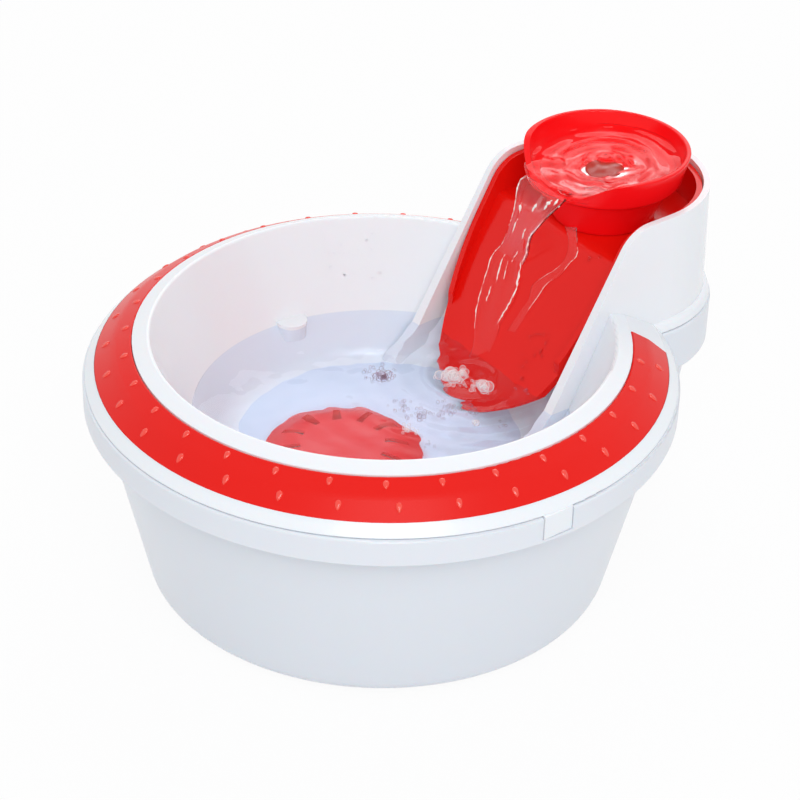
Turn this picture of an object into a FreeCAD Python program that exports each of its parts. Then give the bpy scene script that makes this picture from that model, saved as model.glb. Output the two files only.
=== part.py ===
import FreeCAD, Part
import math
import os
import re
import Sketcher
from FreeCAD import Placement, Rotation, Vector

# Pet water fountain: a round tank, a bowl that rests on it, a red chute in a tower at the
# back of the bowl, a pouring cup on top of the tower, a filter in the floor of the bowl and
# a submersible pump under the tower. Millimetres, +Z up, the tower towards +Y.

# Driving sizes. Radii of the tank and the bowl are taken about the bowl's own upright axis,
# and those of the tower, chute, cup and pump about the tower's upright axis.
SIZES = (
    # tank
    ("rim_radius", 125.0),
    ("rim_height", 96.0),
    ("rim_drop", 12.0),
    ("rim_skin", 2.0),
    ("rim_overhang", 4.3),
    ("tank_lean", 21.5),
    ("base_corner", 7.0),
    ("tank_wall", 2.4),
    ("tank_floor", 2.6),
    ("foot_height", 1.2),
    ("foot_radius", 8.0),
    ("foot_recess", 1.0),
    ("foot_inset", 19.2),
    ("bulge_room", 2.8),
    ("bulge_overhang", 4.8),
    ("bulge_step", 3.8),
    ("bulge_rim_drop", 21.0),
    ("clip_width", 14.0),
    ("clip_drop", 10.0),
    ("clip_back", 9.0),
    ("notch_width", 8.0),
    ("notch_depth", 7.0),
    # bowl
    ("seat_gap", 0.3),
    ("bowl_wall", 2.4),
    ("flange_wall", 3.0),
    ("bowl_lean", 17.0),
    ("floor_corner", 12.0),
    ("free_board", 39.0),
    ("water_depth", 30.0),
    ("lip_width", 7.0),
    ("lip_fall", 3.0),
    ("ring_margin", 5.0),
    ("ring_rise", 5.0),
    ("ring_width", 16.0),
    ("ring_fall", 11.0),
    ("ring_thick", 2.6),
    ("ring_crown", 1.2),
    ("ring_angle", 292.0),
    ("ring_end_gap", 0.2),
    ("skirt_drop", 8.0),
    ("skirt_thick", 2.0),
    ("peg_radius", 7.0),
    ("peg_rise", 1.5),
    ("peg_drop", 14.0),
    ("peg_reach", 9.0),
    ("peg_angle", 83.0),
    # tower and channel
    ("tower_inset", 5.0),
    ("tower_radius", 45.6),
    ("tower_rise", 35.0),
    ("tower_wall", 2.7),
    ("tower_draft", 1.5),
    ("slope_rise", 71.4),
    ("slope_run", 41.0),
    ("slope_back", 23.4),
    ("slope_round", 17.0),
    # chute
    ("chute_gap", 0.4),
    ("chute_wall", 2.2),
    ("lip_wall", 2.6),
    ("lip_drop", 2.4),
    ("lip_reach", 54.0),
    ("tongue_reach", 34.0),
    ("tip_gap", 1.9),
    ("run_slope", 1.55),
    ("deck_drop", 18.0),
    # cup
    ("cup_radius", 36.6),
    ("cup_depth", 13.0),
    ("cup_foot_radius", 33.2),
    ("cup_step", 2.5),
    ("cup_wall", 2.2),
    ("neck_radius", 22.0),
    ("neck_top_radius", 29.0),
    ("neck_rise", 16.5),
    ("socket_wall", 2.4),
    ("socket_drop", 9.0),
    ("spout_width", 27.0),
    ("spout_depth", 12.0),
    ("spout_flare", 17.0),
    ("spout_round", 20.0),
    # filter
    ("filter_margin", 1.3),
    ("filter_room", 1.0),
    ("well_radius", 31.0),
    ("well_wall", 2.0),
    ("drain_width", 3.0),
    ("drain_margin", 5.0),
    ("cartridge_height", 20.0),
    ("cartridge_wall", 1.6),
    ("foam_thick", 8.0),
    ("filter_gap", 0.4),
    ("cover_lap", 2.6),
    ("cover_rise", 9.6),
    ("cover_wall", 2.0),
    ("cover_shoulder", 9.4),
    ("cover_round", 16.8),
    ("cover_slot", 10.0),
    ("cover_margin", 5.6),
    # pump
    ("cup_foot", 4.0),
    ("sucker_radius", 5.0),
    ("pump_room", 0.5),
    ("pump_side_room", 3.0),
    ("pump_back_wall", 2.5),
    ("pump_corner", 7.0),
    ("volute_depth", 9.0),
    ("shaft_radius", 1.25),
    ("magnet_radius", 7.6),
    ("magnet_long", 13.0),
    ("rotor_gap", 0.5),
    ("hub_radius", 3.4),
    ("blade_radius", 11.2),
    ("blade_gap", 1.2),
    ("blade_wide", 5.0),
    ("blade_thick", 1.4),
    ("plate_thick", 2.0),
    ("inlet_radius", 6.0),
    ("bush_radius", 2.8),
    ("bush_long", 3.0),
    ("intake_depth", 12.0),
    ("intake_wall", 1.6),
    ("slot_tall", 2.4),
    ("slot_inset", 6.0),
    ("slot_lap", 0.7),
    ("shutter_travel", 6.0),
    ("nozzle_radius", 4.4),
    ("nozzle_rise", 11.0),
    ("tube_wall", 1.55),
    ("tube_drop", 2.0),
    ("gland_radius", 4.5),
    ("gland_rise", 6.0),
    ("gland_top", 3.2),
    ("fit_gap", 0.05),
)

# Places and sizes that follow from the driving ones, so that what fits or meets stays so.
RELATIONS = {
    "rim_wall_radius": "rim_radius - rim_overhang",
    "base_radius": "rim_wall_radius - tank_lean",
    "foot_circle": "base_radius - foot_inset",
    "bulge_rim_radius": "tower_radius + bulge_overhang",
    "bulge_top_radius": "bulge_rim_radius - bulge_step",
    "bulge_base_radius": "pump_reach + bulge_room + tank_wall",
    "ring_radius": "rim_radius - ring_margin",
    "ring_height": "rim_height + ring_rise",
    "lip_radius": "ring_radius - ring_width",
    "lip_height": "ring_height + ring_fall",
    "crease_radius": "lip_radius - lip_width",
    "crease_height": "lip_height + lip_fall",
    "water_radius": "crease_radius - bowl_lean",
    "water_height": "crease_height - free_board",
    "bowl_floor_height": "water_height - water_depth",
    "peg_top": "water_height + peg_rise",
    "tower_back": "rim_radius - tower_inset",
    "tower_height": "crease_height + tower_rise",
    "slope_top": "tower_back - slope_back",
    "lip_front": "tower_back - lip_reach",
    "tongue_back": "tower_back - tongue_reach",
    "deck_height": "tower_height - deck_drop",
    "neck_top_height": "deck_height + neck_rise",
    "cup_foot_height": "neck_top_height + cup_step",
    "cup_height": "cup_foot_height + cup_depth",
    "spout_height": "cup_height - spout_depth",
    "wall_lean": "(crease_radius - water_radius) / (crease_height - water_height)",
    "floor_radius": "water_radius - water_depth * wall_lean",
    "cover_radius": "well_radius + cover_lap",
    "filter_front": "floor_radius - floor_corner - cover_radius - filter_margin",
    "well_depth": "well_wall + cartridge_height + filter_room + 2 * cover_wall",
    "volute_radius": "blade_radius + blade_gap",
    "plate_radius": "volute_radius + plate_thick",
    "pump_width": "2 * (plate_radius + pump_side_room + intake_wall)",
    "pump_tall": "2 * (plate_radius + pump_room + intake_wall)",
    "rotor_long": "magnet_long + 2 * rotor_gap",
    "pump_rear": "volute_depth / 2 + rotor_long + bush_long + pump_back_wall",
    "pump_side": "pump_width / 2 - pump_corner",
    "pump_end": "pump_rear - pump_corner",
    "pump_reach": "sqrt(pump_side * pump_side + pump_end * pump_end) + pump_corner",
    "tube_radius": "nozzle_radius + fit_gap + tube_wall",
    "tube_top": "deck_height - tube_drop",
}

doc = FreeCAD.newDocument("water_fountain")
sheet = doc.addObject("Spreadsheet::Sheet", "Sizes")
for row, (alias, number) in enumerate(SIZES, start=1):
    sheet.set("A%d" % row, alias)
    sheet.set("B%d" % row, str(number))
    sheet.setAlias("B%d" % row, alias)
doc.recompute()

FULL_TURN = 360.0
# The row's origin lies under the middle of the whole footprint, so the bowl's axis lies a
# little towards the front of it.
AXIS_SHIFT = "(rim_radius - tower_back - bulge_rim_radius) / 2"


def spell_out(match):
    """What a size name stands for in an expression that other objects read."""
    name = match.group()
    if name in RELATIONS:
        return "(%s)" % bound(RELATIONS[name])
    return "Sizes." + name


def bound(expression):
    """The same expression, down to the driving sizes in the sheet."""
    return re.sub(r"\b[a-z]+(?:_[a-z0-9]+)+\b", spell_out, str(expression))


def value(expression):
    """The number that an expression of size names gives."""
    return float(sheet.evalExpression(bound(expression)))


def bind(thing, prop, expression):
    """Tie one property to the sheet."""
    thing.setExpression(prop, bound(expression))


def new_body(name):
    """An empty body on the bowl's axis; its label names the sub-part."""
    body = doc.addObject("PartDesign::Body", name)
    bind(body, ".Placement.Base.y", AXIS_SHIFT)
    return body


def origin_plane(body, role):
    return next(item for item in body.Origin.OriginFeatures if item.Role == role)


def new_sketch(body, name, role, across="0", up="0", out="0"):
    """Sketch on one of the body's own planes, shifted in its plane and off it."""
    sketch = body.newObject("Sketcher::SketchObject", name)
    sketch.AttachmentSupport = [(origin_plane(body, role), "")]
    sketch.MapMode = "FlatFace"
    for axis, shift in (("x", across), ("y", up), ("z", out)):
        bind(sketch, ".AttachmentOffset.Base." + axis, shift)
    return sketch


def pin_point(sketch, geometry, position, across, up):
    """Hold a point of the sketch at two bound distances from its origin."""
    for kind, expression in (("DistanceX", across), ("DistanceY", up)):
        index = sketch.addConstraint(
            Sketcher.Constraint(kind, -1, 1, geometry, position, value(expression))
        )
        bind(sketch, "Constraints[%d]" % index, expression)


def pin_radius(sketch, geometry, expression):
    index = sketch.addConstraint(Sketcher.Constraint("Radius", geometry, value(expression)))
    bind(sketch, "Constraints[%d]" % index, expression)


def add_outline(sketch, corners):
    """Closed outline through the corners; a third value rounds its corner."""
    count = len(corners)
    places = [Vector(value(c[0]), value(c[1]), 0) for c in corners]
    ends = []
    arcs = {}
    for i, corner in enumerate(corners):
        here = places[i]
        if len(corner) < 3:
            ends.append((here, here))
            continue
        back = (places[i - 1] - here).normalize()
        ahead = (places[(i + 1) % count] - here).normalize()
        radius = value(corner[2])
        half = back.getAngle(ahead) / 2
        reach = radius / math.tan(half)
        start, end = here + back * reach, here + ahead * reach
        centre = here + (back + ahead).normalize() * (radius / math.sin(half))
        left_turn = back.cross(ahead).z < 0
        first, last = (start, end) if left_turn else (end, start)
        angle = [math.atan2(p.y - centre.y, p.x - centre.x) for p in (first, last)]
        arcs[i] = (
            Part.ArcOfCircle(Part.Circle(centre, Vector(0, 0, 1), radius), angle[0], angle[1]),
            left_turn,
        )
        ends.append((start, end))
    lines = [
        sketch.addGeometry(Part.LineSegment(ends[i][1], ends[(i + 1) % count][0]))
        for i in range(count)
    ]
    for i, corner in enumerate(corners):
        before, after = lines[i - 1], lines[i]
        if i not in arcs:
            sketch.addConstraint(Sketcher.Constraint("Coincident", before, 2, after, 1))
            pin_point(sketch, after, 1, corner[0], corner[1])
            continue
        arc = sketch.addGeometry(arcs[i][0])
        first, last = (1, 2) if arcs[i][1] else (2, 1)
        sketch.addConstraint(Sketcher.Constraint("Tangent", before, 2, arc, first))
        sketch.addConstraint(Sketcher.Constraint("Tangent", arc, last, after, 1))
        pin_radius(sketch, arc, corner[2])
        tip = sketch.addGeometry(Part.Point(places[i]), True)
        sketch.addConstraint(Sketcher.Constraint("PointOnObject", tip, 1, before))
        sketch.addConstraint(Sketcher.Constraint("PointOnObject", tip, 1, after))
        pin_point(sketch, tip, 1, corner[0], corner[1])


def add_circle(sketch, across, up, radius):
    middle = Vector(value(across), value(up), 0)
    circle = sketch.addGeometry(Part.Circle(middle, Vector(0, 0, 1), value(radius)))
    pin_point(sketch, circle, 3, across, up)
    pin_radius(sketch, circle, radius)


def add_box(sketch, left, right, low, high):
    add_outline(sketch, [(left, low), (right, low), (right, high), (left, high)])


def add_stadium(sketch, radius, back, front, round_front):
    """Plan of the tower: a half circle behind, straight sides, and a square or round front."""
    size, rear, fore = value(radius), value(back), value(front)
    up = Vector(0, 0, 1)
    rear_arc = sketch.addGeometry(
        Part.ArcOfCircle(Part.Circle(Vector(0, rear, 0), up, size), 0, math.pi)
    )
    left = sketch.addGeometry(Part.LineSegment(Vector(-size, rear, 0), Vector(-size, fore, 0)))
    right = sketch.addGeometry(Part.LineSegment(Vector(size, fore, 0), Vector(size, rear, 0)))
    if round_front:
        front_edge = sketch.addGeometry(
            Part.ArcOfCircle(Part.Circle(Vector(0, fore, 0), up, size), math.pi, 2 * math.pi)
        )
    else:
        front_edge = sketch.addGeometry(
            Part.LineSegment(Vector(-size, fore, 0), Vector(size, fore, 0))
        )
    pin_point(sketch, rear_arc, 3, "0", back)
    pin_radius(sketch, rear_arc, radius)
    sketch.addConstraint(Sketcher.Constraint("Tangent", rear_arc, 2, left, 1))
    sketch.addConstraint(Sketcher.Constraint("Tangent", right, 2, rear_arc, 1))
    if round_front:
        sketch.addConstraint(Sketcher.Constraint("Tangent", left, 2, front_edge, 1))
        sketch.addConstraint(Sketcher.Constraint("Tangent", front_edge, 2, right, 1))
        pin_point(sketch, front_edge, 3, "0", front)
        return
    sketch.addConstraint(Sketcher.Constraint("Coincident", left, 2, front_edge, 1))
    sketch.addConstraint(Sketcher.Constraint("Coincident", front_edge, 2, right, 1))
    sketch.addConstraint(Sketcher.Constraint("Vertical", left))
    sketch.addConstraint(Sketcher.Constraint("Horizontal", front_edge))
    index = sketch.addConstraint(Sketcher.Constraint("DistanceY", -1, 1, front_edge, 1, fore))
    bind(sketch, "Constraints[%d]" % index, front)


def turn(body, name, corners, about="0", angle=None, cut=False, mirror=False):
    """Revolve a side profile about an upright axis, as an added or a cut form."""
    sketch = new_sketch(body, name + "_profile", "YZ_Plane", across=about)
    side = "-(%s)" if mirror else "%s"
    add_outline(sketch, [(side % c[0],) + tuple(c[1:]) for c in corners])
    kind = "PartDesign::Groove" if cut else "PartDesign::Revolution"
    feature = body.newObject(kind, name)
    feature.Profile = sketch
    feature.ReferenceAxis = (sketch, ["V_Axis"])
    if angle is None:
        feature.Angle = FULL_TURN
    else:
        feature.Midplane = True
        bind(feature, "Angle", angle)
    sketch.Visibility = False
    return feature


def push(body, name, sketch, length, cut=False, sides="One side", taper=None, flip=False):
    """Pad or pocket a sketch by a bound length."""
    feature = body.newObject("PartDesign::Pocket" if cut else "PartDesign::Pad", name)
    feature.Profile = sketch
    feature.SideType = sides
    feature.Reversed = flip
    bind(feature, "Length", length)
    if taper is not None:
        bind(feature, "TaperAngle", taper)
    sketch.Visibility = False
    return feature


# Shared forms

TANK_FLOOR_TOP = "(foot_height + tank_floor)"
TOWER_INSIDE = "(tower_radius - tower_wall)"
CHUTE_RADIUS = "(tower_radius - tower_wall - chute_gap)"
FLANGE_UNDER = "(rim_height + seat_gap)"
DRAIN_SLOTS = 3


def bowl_wall_radius(height, off="0"):
    """Radius of the bowl's inner wall at a height, moved outward by off."""
    return "(water_radius + (%s - water_height) * wall_lean + %s)" % (height, off)


def tank_wall_radius(height):
    """Outside radius of the tank's tapered wall at a height."""
    lean = "(rim_wall_radius - base_radius) / (rim_height - foot_height)"
    return "(base_radius + (%s - foot_height) * %s)" % (height, lean)


def bulge_wall_radius(height):
    """Outside radius of the tank's rear bulge at a height, about the tower's axis."""
    lean = "(bulge_top_radius - bulge_base_radius) / (rim_height - foot_height)"
    return "(bulge_base_radius + (%s - foot_height) * %s)" % (height, lean)


def add_drain_slots(sketch):
    """Level slots side by side in a round floor, cut short at one common circle."""
    for step in range(-DRAIN_SLOTS, DRAIN_SLOTS + 1):
        middle = "(%d * well_radius / %d)" % (step, DRAIN_SLOTS + 1)
        circle = "(well_radius - drain_margin)"
        reach = "sqrt(%s * %s - %s * %s)" % (circle, circle, middle, middle)
        add_box(
            sketch,
            "-" + reach,
            reach,
            middle + " - drain_width / 2",
            middle + " + drain_width / 2",
        )


# Tank

FOOT_PLACES = [
    ("%s foot_circle * cos(45)" % side, "%s foot_circle * cos(45)" % end)
    for side in ("-", "")
    for end in ("-", "")
]


def tank_form(wall_radius, base, rim, drop):
    """Outside of one lobe of the tank, filled in, with the turned rim hollow beneath."""
    shelf = "(rim_height - rim_skin)"
    return [
        ("0", "foot_height"),
        (base, "foot_height", "base_corner"),
        (wall_radius(shelf), shelf),
        ("%s - rim_skin" % rim, shelf),
        ("%s - rim_skin" % rim, "rim_height - %s" % drop),
        (rim, "rim_height - %s" % drop, "rim_skin / 3"),
        (rim, "rim_height", "rim_skin / 2"),
        ("0", "rim_height"),
    ]


def tank_hollow(wall_radius):
    """Inside of one lobe of the tank."""
    above = "(rim_height + 5 * rim_skin)"
    return [
        ("0", TANK_FLOOR_TOP),
        ("%s - tank_wall" % wall_radius(TANK_FLOOR_TOP), TANK_FLOOR_TOP, "base_corner - tank_floor"),
        ("%s - tank_wall" % wall_radius(above), above),
        ("0", above),
    ]


def make_tank():
    body = new_body("tank")
    turn(body, "tank_round", tank_form(tank_wall_radius, "base_radius", "rim_radius", "rim_drop"))
    turn(
        body,
        "tank_bulge",
        tank_form(bulge_wall_radius, "bulge_base_radius", "bulge_rim_radius", "bulge_rim_drop"),
        about="tower_back",
    )
    turn(body, "tank_inside", tank_hollow(tank_wall_radius), cut=True)
    turn(body, "bulge_inside", tank_hollow(bulge_wall_radius), about="tower_back", cut=True)

    # windows in the turned rim for the bowl's two clips
    sketch = new_sketch(
        body, "clip_window_outline", "YZ_Plane", out="rim_radius - rim_skin * 2"
    )
    half = "(clip_width / 2 + seat_gap)"
    add_box(
        sketch,
        "-clip_back - " + half,
        "-clip_back + " + half,
        "rim_height - clip_drop - seat_gap",
        "rim_height + rim_skin",
    )
    window = push(body, "clip_window", sketch, "rim_skin * 3", cut=True, flip=True)
    mirror = body.newObject("PartDesign::Mirrored", "clip_window_far")
    mirror.Originals = [window]
    mirror.MirrorPlane = (origin_plane(body, "YZ_Plane"), [""])
    body.Tip = mirror

    # notch for the cord's grommet in the rear of the rim
    sketch = new_sketch(
        body, "cord_notch_outline", "XZ_Plane", out="-(tower_back + bulge_top_radius - tank_wall * 3)"
    )
    add_box(
        sketch, "-notch_width / 2", "notch_width / 2", "rim_height - notch_depth", "rim_height + rim_skin"
    )
    push(body, "cord_notch", sketch, "bulge_rim_radius", cut=True)

    # recesses for the four feet
    sketch = new_sketch(body, "foot_recess_outline", "XY_Plane")
    for across, along in FOOT_PLACES:
        add_circle(sketch, across, along, "foot_radius + fit_gap")
    push(body, "foot_recesses", sketch, "foot_height + foot_recess", cut=True, flip=True)
    return body


def make_feet():
    """Four rubber pads pressed into recesses under the tank."""
    pads = []
    for number, (across, along) in enumerate(FOOT_PLACES, start=1):
        pad = doc.addObject("Part::Cylinder", "foot_%d" % number)
        bind(pad, "Radius", "foot_radius")
        bind(pad, "Height", "foot_height + foot_recess")
        bind(pad, ".Placement.Base.x", across)
        bind(pad, ".Placement.Base.y", "%s + %s" % (along, AXIS_SHIFT))
        pads.append(pad)
    group = doc.addObject("Part::Compound", "rubber_feet")
    group.Links = pads
    return group


def make_grommet():
    """Rubber block that closes the cord notch."""
    body = new_body("cord_grommet")
    inner = "(tower_back + bulge_top_radius - tank_wall * 3 + fit_gap)"
    sketch = new_sketch(body, "grommet_outline", "XZ_Plane", out="-" + inner)
    add_box(
        sketch,
        "-notch_width / 2 + fit_gap",
        "notch_width / 2 - fit_gap",
        "rim_height - notch_depth + fit_gap",
        "rim_height",
    )
    push(
        body, "grommet_block", sketch, "bulge_rim_radius - bulge_top_radius + tank_wall * 3", flip=True
    )
    return body


# Bowl

TOWER_FOOT_RADIUS = "(tower_radius + (tower_height - bowl_floor_height) * tan(tower_draft))"
RING_FALL = "((lip_height - ring_height) / (ring_radius - lip_radius))"
SHAFT_FRONT = "(crease_radius + bowl_wall)"


def make_upper_bowl():
    body = new_body("upper_bowl")
    body.AllowCompound = True
    # foot of the tower on the flange, cut out where the bowl lies
    turn(body, "tower_foot", tower_foot_form(), about="tower_back")
    turn(body, "bowl_space", bowl_space_form(), cut=True)
    # tower and channel walls: a tapered prism, cut down to the falling edge and hollowed
    sketch = new_sketch(body, "tower_outline", "XY_Plane", out="bowl_floor_height")
    add_stadium(sketch, TOWER_FOOT_RADIUS, "tower_back", "tongue_back - tower_radius", False)
    push(
        body, "tower_block", sketch, "tower_height - bowl_floor_height", taper="-tower_draft"
    )
    sketch = new_sketch(body, "falling_edge", "YZ_Plane")
    add_outline(sketch, falling_edge("0"))
    push(body, "tower_slope", sketch, "rim_radius * 2", cut=True, sides="Symmetric")
    sketch = new_sketch(body, "channel_outline", "XY_Plane", out="tower_height + tower_wall")
    add_stadium(sketch, TOWER_INSIDE, "tower_back", "-rim_radius", False)
    push(body, "channel", sketch, "tower_height", cut=True)

    # half-round peg on the bowl's wall at the water line
    add_peg(body)
    # what would hang below the bowl is cut away, and the bowl is turned
    turn(body, "under_bowl", under_bowl_form(), cut=True)
    turn(body, "bowl_round", bowl_form())

    # seat of the soft ring, open towards the tower
    turn(body, "ring_seat", ring_seat_form(), angle="ring_angle", cut=True, mirror=True)

    # shaft of the tower behind the bowl's wall, open to the tank below
    sketch = new_sketch(body, "tower_shaft_outline", "XY_Plane", out="tower_height")
    add_shaft_plan(sketch)
    push(body, "tower_shaft", sketch, "tower_height", cut=True)

    # filter well in the floor
    well_bottom = "bowl_floor_height - well_depth"
    sketch = new_sketch(body, "well_outline", "XY_Plane", up="-filter_front", out=well_bottom)
    add_circle(sketch, "0", "0", "well_radius + well_wall")
    push(body, "well", sketch, "well_depth - bowl_wall / 2")
    sketch = new_sketch(
        body, "well_hollow_outline", "XY_Plane", up="-filter_front", out="bowl_floor_height + bowl_wall"
    )
    add_circle(sketch, "0", "0", "well_radius")
    push(body, "well_hollow", sketch, "well_depth - well_wall + bowl_wall", cut=True)
    sketch = new_sketch(
        body, "drain_outline", "XY_Plane", up="-filter_front", out="bowl_floor_height"
    )
    add_drain_slots(sketch)
    push(body, "drain_slots", sketch, "well_depth + well_wall", cut=True)

    # clips that drop into the windows of the tank's rim
    sketch = new_sketch(body, "clip_outline", "YZ_Plane", out="rim_radius - rim_skin")
    add_box(
        sketch,
        "-clip_back - clip_width / 2",
        "-clip_back + clip_width / 2",
        "rim_height - clip_drop",
        "rim_height + seat_gap * 2",
    )
    clip = push(body, "clip", sketch, "rim_skin - seat_gap * 2")
    mirror = body.newObject("PartDesign::Mirrored", "clip_far")
    mirror.Originals = [clip]
    mirror.MirrorPlane = (origin_plane(body, "YZ_Plane"), [""])
    body.Tip = mirror
    return body


def falling_edge(drop):
    """Side profile of the space above the tower's sides, lowered by drop."""
    top = "tower_height - %s" % drop
    run = "slope_run / slope_rise"
    above = "tower_height + 2 * tower_wall"
    low = "bowl_floor_height - bowl_wall - tower_wall"
    foot = "slope_top - (tower_height - (%s)) * %s" % (low, run)
    return [
        ("-rim_radius", above),
        ("-rim_radius", low),
        ("%s + %s" % (foot, drop), low),
        ("slope_top + %s" % drop, top, "slope_round"),
        ("tower_back + rim_radius", top),
        ("tower_back + rim_radius", above),
    ]


def bowl_space_form():
    """The open space inside the bowl."""
    above = "tower_height"
    return [
        ("0", "0"),
        (bowl_wall_radius("0"), "0"),
        (bowl_wall_radius(above), above),
        ("0", above),
    ]


def under_bowl_form():
    """All that lies under the bowl and its flange."""
    floor_under = "(bowl_floor_height - bowl_wall)"
    return [
        ("0", "0"),
        ("0", floor_under),
        (bowl_wall_radius(floor_under, "bowl_wall"), floor_under),
        (bowl_wall_radius(FLANGE_UNDER, "bowl_wall"), FLANGE_UNDER),
        ("rim_radius * 2", FLANGE_UNDER),
        ("rim_radius * 2", "0"),
    ]


def bowl_form():
    """Wall section of the bowl: floor, wall, lip, sloping flange and locating skirt."""
    floor_under = "(bowl_floor_height - bowl_wall)"
    skirt_top = "(rim_wall_radius - tank_wall - seat_gap * 2)"
    skirt_low = "(%s - skirt_drop * (rim_wall_radius - base_radius) / (rim_height - foot_height))"
    skirt_low = skirt_low % skirt_top
    slab = "(ring_thick + flange_wall)"
    inner = "(crease_radius + bowl_wall / 2)"
    return [
        ("0", "bowl_floor_height"),
        (bowl_wall_radius("bowl_floor_height"), "bowl_floor_height", "floor_corner"),
        ("crease_radius", "crease_height", "bowl_wall / 2"),
        ("lip_radius", "lip_height"),
        ("ring_radius", "ring_height"),
        ("rim_radius - seat_gap * 2", FLANGE_UNDER, "seat_gap"),
        (skirt_top, FLANGE_UNDER),
        (skirt_low, "%s - skirt_drop" % FLANGE_UNDER),
        ("%s - skirt_thick" % skirt_low, "%s - skirt_drop" % FLANGE_UNDER),
        (
            "%s - skirt_thick" % skirt_top,
            "lip_height - (%s - skirt_thick - lip_radius) * %s - %s" % (skirt_top, RING_FALL, slab),
        ),
        (inner, "lip_height - (%s - lip_radius) * %s - %s" % (inner, RING_FALL, slab)),
        (bowl_wall_radius(floor_under, "bowl_wall"), floor_under, "floor_corner + bowl_wall"),
        ("0", floor_under),
    ]


def tower_foot_form():
    """Low cone of the flange around the foot of the tower."""
    return [
        ("0", FLANGE_UNDER),
        ("bulge_rim_radius - seat_gap * 2", FLANGE_UNDER, "seat_gap"),
        (TOWER_FOOT_RADIUS, "ring_height", "tower_wall"),
        ("0", "ring_height"),
    ]


def ring_seat_form():
    """Section of the groove that holds the soft ring."""
    above = "ring_thick * 2"
    return [
        ("lip_radius", "lip_height - ring_thick"),
        ("ring_radius", "ring_height - ring_thick"),
        ("ring_radius", "ring_height + %s" % above),
        ("lip_radius", "lip_height + %s" % above),
    ]


def add_shaft_plan(sketch):
    """Plan of the tower's shaft: its inner circle behind the bowl's wall."""
    inner = value(TOWER_INSIDE)
    wall = value(SHAFT_FRONT)
    back = value("tower_back")
    along = (wall * wall - inner * inner + back * back) / (2 * back)
    across = math.sqrt(wall * wall - along * along)
    up = Vector(0, 0, 1)
    near = math.atan2(along, across)
    far = math.atan2(along - back, across)
    front = sketch.addGeometry(
        Part.ArcOfCircle(Part.Circle(Vector(0, 0, 0), up, wall), near, math.pi - near)
    )
    rear = sketch.addGeometry(
        Part.ArcOfCircle(Part.Circle(Vector(0, back, 0), up, inner), far, math.pi - far)
    )
    sketch.addConstraint(Sketcher.Constraint("Coincident", front, 1, rear, 1))
    sketch.addConstraint(Sketcher.Constraint("Coincident", front, 2, rear, 2))
    pin_point(sketch, front, 3, "0", "0")
    pin_radius(sketch, front, SHAFT_FRONT)
    pin_point(sketch, rear, 3, "0", "tower_back")
    pin_radius(sketch, rear, TOWER_INSIDE)


def add_peg(body):
    """Half-round peg: a tapered stud that grows out of the bowl's wall."""
    sketch = new_sketch(body, "peg_outline", "XY_Plane", out="peg_top")
    radius = "(%s - peg_reach + peg_radius)" % bowl_wall_radius("peg_top")
    place = (
        "-%s * sin(peg_angle)" % radius,
        "%s * cos(peg_angle)" % radius,
    )
    add_circle(sketch, place[0], place[1], "peg_radius")
    peg = body.newObject("PartDesign::Pad", "peg")
    peg.Profile = sketch
    peg.Reversed = True
    bind(peg, "Length", "peg_drop")
    bind(peg, "TaperAngle", "-tower_draft * 2")
    sketch.Visibility = False


def make_rim_ring():
    """Soft ring in its groove: a C that stops short of the tower on both sides."""
    body = new_body("rim_ring")
    gap = "fit_gap * 2"
    middle = ("(lip_radius + ring_radius) / 2", "(lip_height + ring_height) / 2 + ring_crown")
    form = [
        ("lip_radius + %s" % gap, "lip_height - ring_thick + %s" % gap),
        ("ring_radius - %s" % gap, "ring_height - ring_thick + %s" % gap),
        ("ring_radius - %s" % gap, "ring_height", "ring_thick / 4"),
        middle + ("ring_width",),
        ("lip_radius + %s" % gap, "lip_height", "ring_thick / 4"),
    ]
    turn(body, "ring_round", form, angle="ring_angle - ring_end_gap", mirror=True)
    return body


# Chute

SOCKET_RADIUS = "(tube_radius + seat_gap + socket_wall)"
CHUTE_DROP = "(chute_wall * sqrt(1 + run_slope * run_slope))"
CHUTE_TIP = "(tongue_back - %s)" % CHUTE_RADIUS
TIP_HEIGHT = "(bowl_floor_height + tip_gap + %s)" % CHUTE_DROP


def chute_floor(along):
    """Height of the chute's sloping floor at a distance back from the bowl's axis."""
    return "(%s + (%s - %s) * run_slope)" % (TIP_HEIGHT, along, CHUTE_TIP)


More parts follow.
